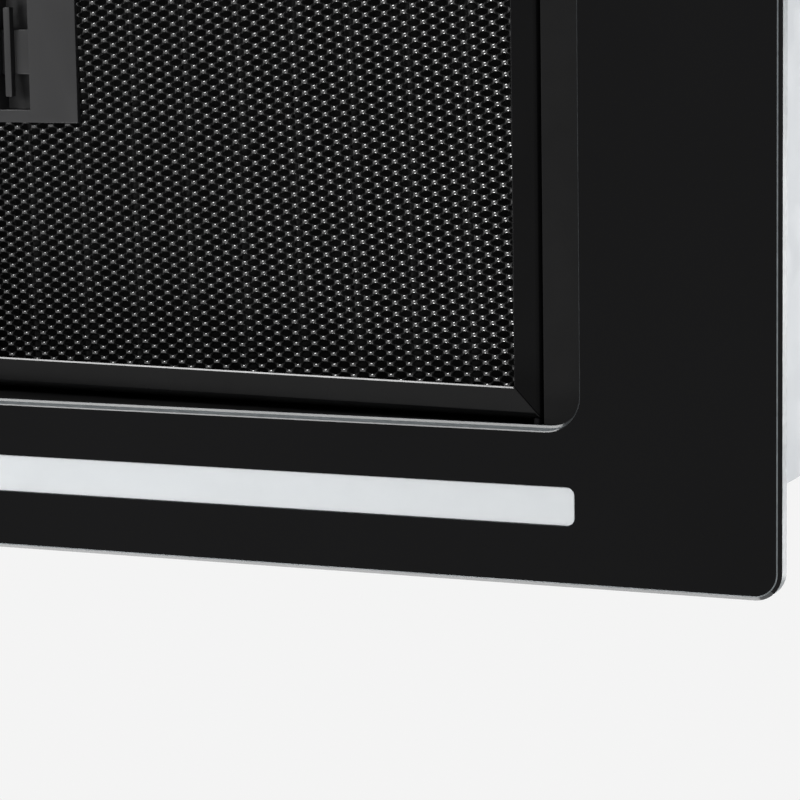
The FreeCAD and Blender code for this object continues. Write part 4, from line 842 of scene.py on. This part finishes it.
class LightBar:
    """The long light with its board, heat sink and straps, and the touch control."""

    def dress(self) -> None:
        """Give the light its finishes."""
        dress(OPAL_PLASTIC, "light_diffuser")
        dress(ALUMINIUM, "led_heat_sink")
        dress(WHITE_PLASTIC, "light_end_caps", "led_board")
        dress(ZINC_STEEL, "led_straps")
        dress(TOUCH_BOARD, "touch_board")
        dress(DARK_RUBBER, "led_cable")


def inside(places: np.ndarray, part: Rect) -> np.ndarray:
    """Tell for each place, one row each, whether it lies in a rectangle."""
    x, y = places.T
    return (x > part[0]) & (x < part[1]) & (y > part[2]) & (y < part[3])


@dataclass
class ExpandedMesh:
    """Slit and stretched sheet metal: staggered holes between narrow strands that meet in proud knuckles.

    Lengths are in millimetres and lie in the sheet's plane; heights are towards the cook. Each hole lies in
    a diamond, whose corners are the middles of its four knuckles. A knuckle's two length rounds are those of
    its front and its rear slope.
    """

    long_pitch: float = 6.4
    short_pitch: float = 3.35
    turn: float = -3.6
    hole_long: float = 0.6
    hole_short: float = 0.55
    hole_power: float = 1.8
    side_shares: tuple[float, ...] = (0.0, 0.12, 0.28, 0.5, 0.72, 0.88)
    ring_shares: tuple[float, ...] = (0.0, 0.33, 0.67, 1.0, 1.04)
    knuckle_height: float = 0.3
    knuckle_round: float = 0.9
    knuckle_reach: float = 0.97
    knuckle_length_rounds: Span = (4.6, 2.4)
    knuckle_ridge: float = 0.35
    knuckle_half: Span = (1.0, 0.5)
    strand_height: float = -0.2
    strand_round: float = 0.35
    rim_drop: float = 0.35
    sheet_edge: float = -0.55
    merge_digits: int = 4
    spare_rows: int = 2

    def half(self) -> np.ndarray:
        """Give half a diamond's length and width."""
        return np.array([self.long_pitch / 2.0, self.short_pitch / 2.0])

    def corners(self) -> np.ndarray:
        """Give a diamond's corners in halves of its length and width, one row each."""
        return np.array([(1.0, 0.0), (0.0, 1.0), (-1.0, 0.0), (0.0, -1.0)])

    def turned(self, points: np.ndarray) -> np.ndarray:
        """Turn places in the sheet's plane by the mesh's own angle.

        Args:
            points: The places, one row each.

        Returns:
            The turned places.
        """
        x, y = points[:, 0], points[:, 1]
        cos, sin = math.cos(math.radians(self.turn)), math.sin(math.radians(self.turn))
        return np.column_stack([x * cos - y * sin, x * sin + y * cos])

    def heights(self, points: np.ndarray, inset: np.ndarray) -> np.ndarray:
        """Give the sheet's height: barrel-shaped knuckles that fall off into rounded strands.

        Args:
            points: Places in the diamond, one row each.
            inset: How far each place lies inside the diamond's outline.

        Returns:
            One height for each place.
        """
        half = self.half()
        away = points[:, None, :] - (self.corners() * half)[None, :, :]
        nearest = np.argmin(np.hypot(away[..., 0] / half[0], away[..., 1] / half[1]), axis=1)
        along, across = away[np.arange(len(points)), nearest].T
        side = np.clip(np.abs(across), 0.0, self.knuckle_round * self.knuckle_reach)
        fall = self.knuckle_round - np.sqrt(self.knuckle_round ** 2 - side ** 2)
        front, rear = self.knuckle_length_rounds
        behind = np.clip(0.5 + across / (2.0 * self.knuckle_ridge), 0.0, 1.0)
        barrel = self.knuckle_height - fall - along ** 2 / (2.0 * (front + (rear - front) * behind))
        strand = self.strand_height - inset ** 2 / (2.0 * self.strand_round)
        return np.maximum(np.maximum(barrel, strand), self.sheet_edge)

    def cell(self) -> tuple[np.ndarray, np.ndarray, np.ndarray]:
        """Shape one diamond around its hole, ring by ring from its outline inwards.

        Returns:
            The points of the rings, the quads as corner numbers, and which quads belong to a knuckle.
        """
        half, corners = self.half(), self.corners()
        steps = np.array(self.side_shares)[:, None]
        outline = np.concatenate([here * (1.0 - steps) + there * steps
                                  for here, there in zip(corners, np.roll(corners, -1, axis=0))])
        size = (np.abs(outline) ** self.hole_power).sum(axis=1)
        rim = outline / size[:, None] ** (1.0 / self.hole_power) * np.array([self.hole_long, self.hole_short])
        rings = []
        for share in self.ring_shares:
            flat = (outline + (rim - outline) * share) * half
            inset = np.hypot(*(flat - outline * half).T)
            height = self.heights(flat, inset) if share <= 1.0 else rings[-1][:, 2] - self.rim_drop
            rings.append(np.column_stack([flat, height]))
        points = np.array(rings).reshape(-1, 3)
        count = len(outline)
        quads = np.array([(r * count + s, r * count + (s + 1) % count,
                           (r + 1) * count + (s + 1) % count, (r + 1) * count + s)
                          for r in range(len(rings) - 1) for s in range(count)])
        middles = points[quads].mean(axis=1)[:, :2]
        away = np.abs(middles[:, None, :] - (corners * half)[None, :, :]) / np.array(self.knuckle_half)
        return points, quads, np.hypot(away[..., 0], away[..., 1]).min(axis=1) < 1.0

    def centres(self, area: Rect, notch: Rect) -> np.ndarray:
        """Spread the holes over an area.

        Args:
            area: The area.
            notch: The part of it that stays free.

        Returns:
            The holes' centres, one row each.
        """
        diagonal = math.hypot(area[1] - area[0], area[3] - area[2])
        reach = int(diagonal / self.short_pitch) + self.spare_rows
        rows, columns = np.meshgrid(np.arange(-reach, reach + 1), np.arange(-reach, reach + 1), indexing="ij")
        x = (columns + (rows % 2) / 2.0).ravel() * self.long_pitch
        y = rows.ravel() * self.short_pitch / 2.0
        places = self.turned(np.column_stack([x, y]))
        places += ((area[0] + area[1]) / 2.0, (area[2] + area[3]) / 2.0)
        return places[inside(places, area) & ~inside(places, notch)]

    def build(self, name: str, area: Rect, notch: Rect, level: float) -> Mesh:
        """Make the sheet as one mesh.

        Args:
            name: The mesh's name.
            area: The area that it covers.
            notch: The part of it that stays free.
            level: Height of the sheet's middle.

        Returns:
            The mesh, in metres.
        """
        points, quads, lit_knuckle_quads = self.cell()
        centres = self.centres(area, notch)
        one = np.column_stack([self.turned(points), level - points[:, 2]])
        offsets = np.column_stack([centres, np.zeros(len(centres))])
        every = (offsets[:, None, :] + one[None, :, :]).reshape(-1, 3)
        faces = (quads[None, :, ::-1] + (np.arange(len(centres)) * len(points))[:, None, None]).reshape(-1, 4)
        _, first, number = np.unique(np.round(every, self.merge_digits), axis=0, return_index=True,
                                     return_inverse=True)
        mesh = bpy.data.meshes.new(name)
        mesh.from_pydata((every[first] * MM).tolist(), [], number.ravel()[faces].tolist())
        mesh.polygons.foreach_set("use_smooth", np.ones(len(faces), dtype=bool))
        # Knuckle quads get the lighter glossy copy of the paint as painted light, the strands the darker copy
        # as painted shade.
        mesh.polygons.foreach_set("material_index", np.tile(lit_knuckle_quads, len(centres)).astype(np.int32))
        for finish in (SHADED_STRAND_PAINT, LIT_KNUCKLE_PAINT):
            mesh.materials.append(finish.material())
        return mesh


@dataclass
class FrameRail:
    """A folded channel rail with a rolled lip and mitred ends, in millimetres.

    Its length runs along x, its depth inwards along y and its height along z. The points of the rolled lip
    are given from the rail's inner side, by place and height.
    """

    length: float
    paint: Finish
    width: float = 9.4
    height: float = 9.0
    wall: float = 0.8
    corner: float = 2.1
    seam: float = 0.1
    end_round: float = 0.3
    rolled_lip: tuple[Span, ...] = ((-0.5, 0.0), (-0.08, 0.26), (0.0, 0.45))
    flat_rim: float = 0.15
    cutter_depth: float = 3.2
    arc_steps: int = 6
    crease: float = 22.0

    def profile(self) -> np.ndarray:
        """Give the channel's outline, from its lower lip round the inside and back outside.

        Returns:
            The points, one row each.
        """
        lip = self.width - self.wall / 2.0
        inner, steps = self.corner - self.wall, self.arc_steps
        low, high, middle = self.corner, self.height - self.corner, self.wall / 2.0
        points = [(self.width + u, z) for u, z in self.rolled_lip] + [(lip, self.wall)]
        points += arc((low, low), inner, 270.0, 180.0, steps)
        points += arc((low, high), inner, 180.0, 90.0, steps)
        points += arc((lip, self.height - middle), middle, -90.0, 90.0, steps)
        points += arc((low, high), self.corner, 90.0, 180.0, steps)
        points += arc((low, low), self.corner, 180.0, 270.0, steps)
        points += [(low + self.flat_rim, 0.0), (points[0][0] - self.flat_rim, 0.0)]
        return np.array(points)

    def build(self, name: str, slot: Point | None = None) -> Mesh:
        """Make the rail.

        Args:
            name: The mesh's name.
            slot: Half width, lowest and highest place of a slot through the outer wall, if it has one.

        Returns:
            The mesh, in metres.
        """
        outline = self.profile()
        ahead = np.roll(outline, -1, axis=0) - np.roll(outline, 1, axis=0)
        outward = np.column_stack([ahead[:, 1], -ahead[:, 0]])
        outward /= np.linalg.norm(outward, axis=1)[:, None]
        tucked = outline - outward * self.end_round / 2.0
        half = self.length / 2.0 - self.seam
        work = bmesh.new()
        rings = [[work.verts.new(Vector((sign * (half - back - u), u, z)) * MM) for u, z in points]
                 for sign, back, points in ((-1, 0.0, tucked), (-1, self.end_round, outline),
                                            (1, self.end_round, outline), (1, 0.0, tucked))]
        for near, far in zip(rings, rings[1:]):
            for face in band(work, near, far)[:len(self.rolled_lip) - 1]:
                face.material_index = 1
        work.faces.new(rings[0])
        work.faces.new(rings[-1])
        mesh = finish_mesh(name, work, self.paint, LIP_PAINT, crease=self.crease)
        return mesh if slot is None else self.with_slot(mesh, slot)

    def with_slot(self, mesh: Mesh, slot: Point) -> Mesh:
        """Cut a slot through the rail's outer wall.

        Args:
            mesh: The rail.
            slot: Half width, lowest and highest place of the slot.

        Returns:
            The rail with its slot.
        """
        half, low, high = slot
        work = bmesh.new()
        bmesh.ops.create_cube(work, size=1.0)
        bmesh.ops.scale(work, verts=work.verts, vec=Vector((2.0 * half, self.cutter_depth, high - low)) * MM)
        bmesh.ops.translate(work, verts=work.verts, vec=Vector((0.0, 0.0, (low + high) / 2.0)) * MM)
        cutter = add_object("slot_cutter", finish_mesh("slot_cutter", work, self.paint))
        rail = add_object("slotted_rail", mesh)
        cut = rail.modifiers.new("slot", "BOOLEAN")
        cut.operation = "DIFFERENCE"
        cut.solver = "EXACT"
        cut.object = cutter
        result = bpy.data.meshes.new_from_object(rail.evaluated_get(bpy.context.evaluated_depsgraph_get()))
        result.name = mesh.name
        for obj in (cutter, rail):
            bpy.data.objects.remove(obj)
        return result


class Rail(Enum):
    """The four rails of a filter: share of its length and depth where each lies, and its turn in degrees."""

    NEAR = (0.5, -0.5, 0.0)
    FAR = (0.5, 0.5, 180.0)
    OUTER = (0.0, 0.0, -90.0)
    INNER = (1.0, 0.0, 90.0)


@dataclass
class GreaseFilter:
    """One grease filter; its own frame has the pivot as origin and x going inwards, in millimetres."""

    body: Body
    turned: bool
    pivot: Point = (207.5, 3.0, 4.5)
    tilt: float = 4.7
    length: float = 203.1
    depth: float = 212.4
    pivot_inset: float = 2.5
    mesh_edge_gap: float = 4.4
    mesh_level: float = -1.3
    notch: Rect = (158.7, 400.0, -20.5, 20.5)
    latch_slot: Point = (8.4, 4.9, 7.7)

    def own_frame(self) -> Matrix:
        """Give the filter's frame in the hood's, in metres.

        Returns:
            The frame as a matrix.
        """
        side = 1.0 if self.turned else -1.0
        place = Vector((side * self.pivot[0], self.pivot[1], self.pivot[2])) * MM
        half_turn = Matrix.Rotation(math.pi if self.turned else 0.0, 4, "Z")
        return Matrix.Translation(place) @ half_turn @ Matrix.Rotation(-math.radians(self.tilt), 4, "Y")

    def node(self, piece: str) -> str:
        """Give the name of one of the filter's nodes."""
        return f"{self.body.value}_{piece}"

    def rail_node(self, rail: Rail) -> str:
        """Give the name of a rail's node.

        Args:
            rail: Which rail.

        Returns:
            The node's name.
        """
        if rail in (Rail.OUTER, Rail.INNER):
            return self.node(f"{rail.name.lower()}_rail")
        front = (rail is Rail.NEAR) != self.turned
        return self.node("front_rail" if front else "rear_rail")

    def rail_frame(self, rail: Rail) -> Matrix:
        """Give a rail's place in the filter's frame.

        Args:
            rail: Which rail.

        Returns:
            The place as a matrix, in metres.
        """
        along, across, angle = rail.value
        spot = Vector((along * self.length - self.pivot_inset, across * self.depth, -self.pivot_inset)) * MM
        return Matrix.Translation(spot) @ Matrix.Rotation(math.radians(angle), 4, "Z")

    def mesh_area(self) -> Rect:
        """Give the mesh face's area in the filter's frame.

        Returns:
            The area.
        """
        low = self.mesh_edge_gap - self.pivot_inset
        half = self.depth / 2.0 - self.mesh_edge_gap
        return (low, self.length - self.pivot_inset - self.mesh_edge_gap, -half, half)

    def build(self, mesh: Mesh) -> None:
        """Make the rails, lay the mesh face in and dress the rest.

        Args:
            mesh: The mesh face, in the filter's own frame.
        """
        own = self.own_frame()
        for rail in Rail:
            across = rail in (Rail.OUTER, Rail.INNER)
            # End rails get the darker copy of the frame paint as painted shade, long rails the lighter copy
            # as painted light.
            length, paint = (self.depth, SHADED_END_RAIL_PAINT) if across else (self.length, LIT_LONG_RAIL_PAINT)
            slot = self.latch_slot if rail is Rail.INNER else None
            node = self.rail_node(rail)
            made = FrameRail(length, paint).build(f"{node}_folded", slot)
            made.transform(own @ self.rail_frame(rail))
            new_piece(f"{node}_folded", made, self.body, "filter_frame", node)
        sheet = mesh.copy()
        sheet.transform(own)
        new_piece(self.node("mesh_sheet"), sheet, self.body, "filter_mesh", self.node("mesh_face"))
        dress(PACK_MESH, self.node("mesh_pack"))
        SMALL_EDGE.apply(LATCH_PLASTIC, self.node("latch_case"), self.node("latch_slider"))
        dress(SPRING_STEEL, self.node("latch_spring"))
        dress(BLACK_STEEL, self.node("pivot_rod"))


@dataclass
class PanScrew:
    """A pan head screw with a cross recess, in millimetres; its head sits on z = 0."""

    head_radius: float = 3.5
    head_height: float = 2.2
    head_wall: float = 0.45
    head_steps: int = 5
    flat_radius: float = 2.2
    shank_radius: float = 1.75
    length: float = 6.0
    tip_radius: float = 0.05
    tip_share: float = 0.7
    shoulder_share: float = 0.85
    arm: float = 1.6
    arm_half_width: float = 0.42
    arm_narrowing: float = 0.6
    recess: float = 1.3
    recess_floor: float = 0.45
    sides: int = 32
    turn_radians: float = 0.7

    def profile(self) -> list[Span]:
        """Give the outline from the tip to the rim of the flat top, by radius and height.

        Returns:
            The points.
        """
        points = [(self.tip_radius, -self.length), (self.shank_radius * self.tip_share, -self.length),
                  (self.shank_radius, -self.length * self.shoulder_share), (self.shank_radius, 0.0),
                  (self.head_radius, 0.0)]
        for i in range(self.head_steps + 1):
            angle = math.pi / 2.0 * i / self.head_steps
            radius = self.flat_radius + (self.head_radius - self.flat_radius) * math.cos(angle)
            share = self.head_wall + (1.0 - self.head_wall) * math.sin(angle)
            points.append((radius, self.head_height * share))
        return points

    def ring(self, work: Work, radius: float, height: float) -> list[Vert]:
        """Add a ring of points."""
        return [work.verts.new((*point, height)) for point in circle(radius, self.sides)]

    def cross(self, work: Work, share: float, height: float) -> list[Vert]:
        """Add the outline of the recess.

        Args:
            work: The mesh work.
            share: Its size against the full recess.
            height: Its height.

        Returns:
            Its points in order.
        """
        a = self.arm * share
        w = self.arm_half_width * (1.0 - self.arm_narrowing * (1.0 - share))
        corners = [(a, -w), (a, w), (w, w), (w, a), (-w, a), (-w, w), (-a, w), (-a, -w), (-w, -w), (-w, -a),
                   (w, -a), (w, -w)]
        return [work.verts.new((x, y, height)) for x, y in corners]

    def build(self, name: str, places: list[Point]) -> Mesh:
        """Make all screws of the hood as one mesh of separate screws.

        Args:
            name: The mesh's name.
            places: Where their heads sit, in metres.

        Returns:
            The mesh, in metres.
        """
        work = bmesh.new()
        rings = [self.ring(work, radius, height) for radius, height in self.profile()]
        for low, high in zip(rings, rings[1:]):
            band(work, low, high)
        work.faces.new(rings[0])
        rim = self.cross(work, 1.0, self.head_height)
        floor = self.cross(work, self.recess_floor, self.head_height - self.recess)
        rim_edges, floor_edges = loop_edges(work, rim), loop_edges(work, floor)
        bmesh.ops.bridge_loops(work, edges=loop_edges(work, rings[-1]) + rim_edges)
        bmesh.ops.bridge_loops(work, edges=rim_edges + floor_edges)
        work.faces.new(floor)
        bmesh.ops.scale(work, verts=work.verts, vec=(MM, MM, MM))
        one = finish_mesh(f"{name}_one", work, SCREW_STEEL)
        every = bmesh.new()
        for index, place in enumerate(places):
            copy = one.copy()
            copy.transform(Matrix.Translation(place) @ Matrix.Rotation(self.turn_radians * index, 4, "Z"))
            every.from_mesh(copy)
            bpy.data.meshes.remove(copy)
        return finish_mesh(name, every, SCREW_STEEL)


@dataclass
class Housing:
    """Sheet metal housing with its screws, rivets and cabinet clips."""

    screw: PanScrew = field(default_factory=PanScrew)

    def dress(self) -> None:
        """Give the housing its finishes and its screws their heads."""
        SHEET_EDGE.apply(ZINC_STEEL, "housing_wrap", "housing_back", "housing_top")
        dress(SCREW_STEEL, "base_rivets")
        SMALL_EDGE.apply(CLIP_STEEL, "cabinet_clips")
        mesh = self.screw.build("pan_screws", self.screw_places())
        new_piece("pan_screws", mesh, Body.HOOD, "screw_steel", "housing_screws")

    def screw_places(self) -> list[Point]:
        """Find where the heads of the housing's screws sit.

        Returns:
            The places, in metres.
        """
        work = node_work("housing_screws")
        left, places = set(work.verts), []
        while left:
            island, waiting = set(), [next(iter(left))]
            while waiting:
                vert = waiting.pop()
                if vert not in island:
                    island.add(vert)
                    waiting.extend(edge.other_vert(vert) for edge in vert.link_edges)
            left -= island
            spots = np.array([vert.co for vert in island])
            middle = (spots.min(axis=0) + spots.max(axis=0)) / 2.0
            places.append((middle[0], middle[1], spots[:, 2].max() - self.screw.head_height * MM))
        work.free()
        return sorted(places)


class Blower:
    """Scroll casing, motor and impeller."""

    def dress(self) -> None:
        """Give the blower its finishes."""
        dress(GREY_PLASTIC, "scroll_left", "scroll_right")
        dress(MOTOR_METAL, "motor_body")
        dress(ZINC_STEEL, "motor_bracket")
        dress(DARK_RUBBER, "motor_grommets", "motor_cable")
        dress(SCREW_STEEL, "motor_screws", "motor_shaft", "impeller_nut")
        dress(BLACK_PLASTIC, "inlet_guard", "impeller")


@dataclass
class Outlet:
    """Duct collar with beads that hold the hose, and its two damper flaps, in millimetres.

    Each bead is given by how far it lies below the collar's rim and by its radius.
    """

    beads: tuple[Span, ...] = ((3.6, 0.9), (13.0, 1.1))
    sunk: float = 0.2
    rim_zone: float = 1.0
    around: int = 120
    across: int = 6

    def bead(self, work: Work, middle: Vector, radius: float, size: float) -> None:
        """Add a half-round bead around the collar.

        Args:
            work: The collar's mesh work.
            middle: The bead's middle.
            radius: The collar's radius.
            size: The bead's own radius.
        """
        profile = arc((radius, 0.0), size, -90.0, 90.0, self.across)
        profile += [(radius - self.sunk, size), (radius - self.sunk, -size)]
        rings = []
        for out, up in profile:
            places = [middle + Vector((*point, up)) for point in circle(out, self.around)]
            rings.append([work.verts.new(place * MM) for place in places])
        for near, far in zip(rings, rings[1:] + rings[:1]):
            band(work, near, far)

    def make_collar(self) -> None:
        """Make the collar with its beads."""
        work = node_work("outlet_collar")
        spots = np.array([vert.co for vert in work.verts]) / MM
        rim = spots[spots[:, 2] > spots[:, 2].max() - self.rim_zone]
        low, high = rim.min(axis=0), rim.max(axis=0)
        for below, size in self.beads:
            middle = Vector(((low[0] + high[0]) / 2.0, (low[1] + high[1]) / 2.0, high[2] - below))
            self.bead(work, middle, (high[0] - low[0]) / 2.0, size)
        mesh = finish_mesh("outlet_collar_beaded", work, BLACK_PLASTIC)
        new_piece("outlet_collar_beaded", mesh, Body.HOOD, "black_plastic", "outlet_collar")

    def dress(self) -> None:
        """Make the collar and give the rest of the outlet its finishes."""
        self.make_collar()
        dress(SCREW_STEEL, "damper_rods")
        dress(GREY_PLASTIC, "damper_flap_front", "damper_flap_rear")


class Electronics:
    """Electronics box with its board, and the light's driver."""

    def dress(self) -> None:
        """Give the electronics their finishes."""
        MOULD_EDGE.apply(WHITE_PLASTIC, "electronics_box")
        RECESSED_EDGE.apply(WHITE_PLASTIC, "electronics_lid")
        dress(CIRCUIT_BOARD, "control_board")
        dress(COMPONENT_PLASTIC, "board_components")
        dress(ALUMINIUM, "capacitor")
        dress(BLACK_PLASTIC, "cable_gland")
        RECESSED_EDGE.apply(BLACK_PLASTIC, "led_driver")


def main() -> None:
    """Build the scene piece by piece."""
    logging.basicConfig(level=logging.INFO, format="%(name)s: %(message)s")
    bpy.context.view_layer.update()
    PhotoCamera().build()
    Studio().build()
    GlassPanel().build()
    Underside().dress()
    LightBar().dress()
    filters = [GreaseFilter(Body.FILTER_LEFT, False), GreaseFilter(Body.FILTER_RIGHT, True)]
    mesh = ExpandedMesh().build("mesh_sheet", filters[0].mesh_area(), filters[0].notch, filters[0].mesh_level)
    for grease_filter in filters:
        grease_filter.build(mesh)
    bpy.data.meshes.remove(mesh)
    Housing().dress()
    Blower().dress()
    Outlet().dress()
    Electronics().dress()


if __name__ == "__main__":
    main()
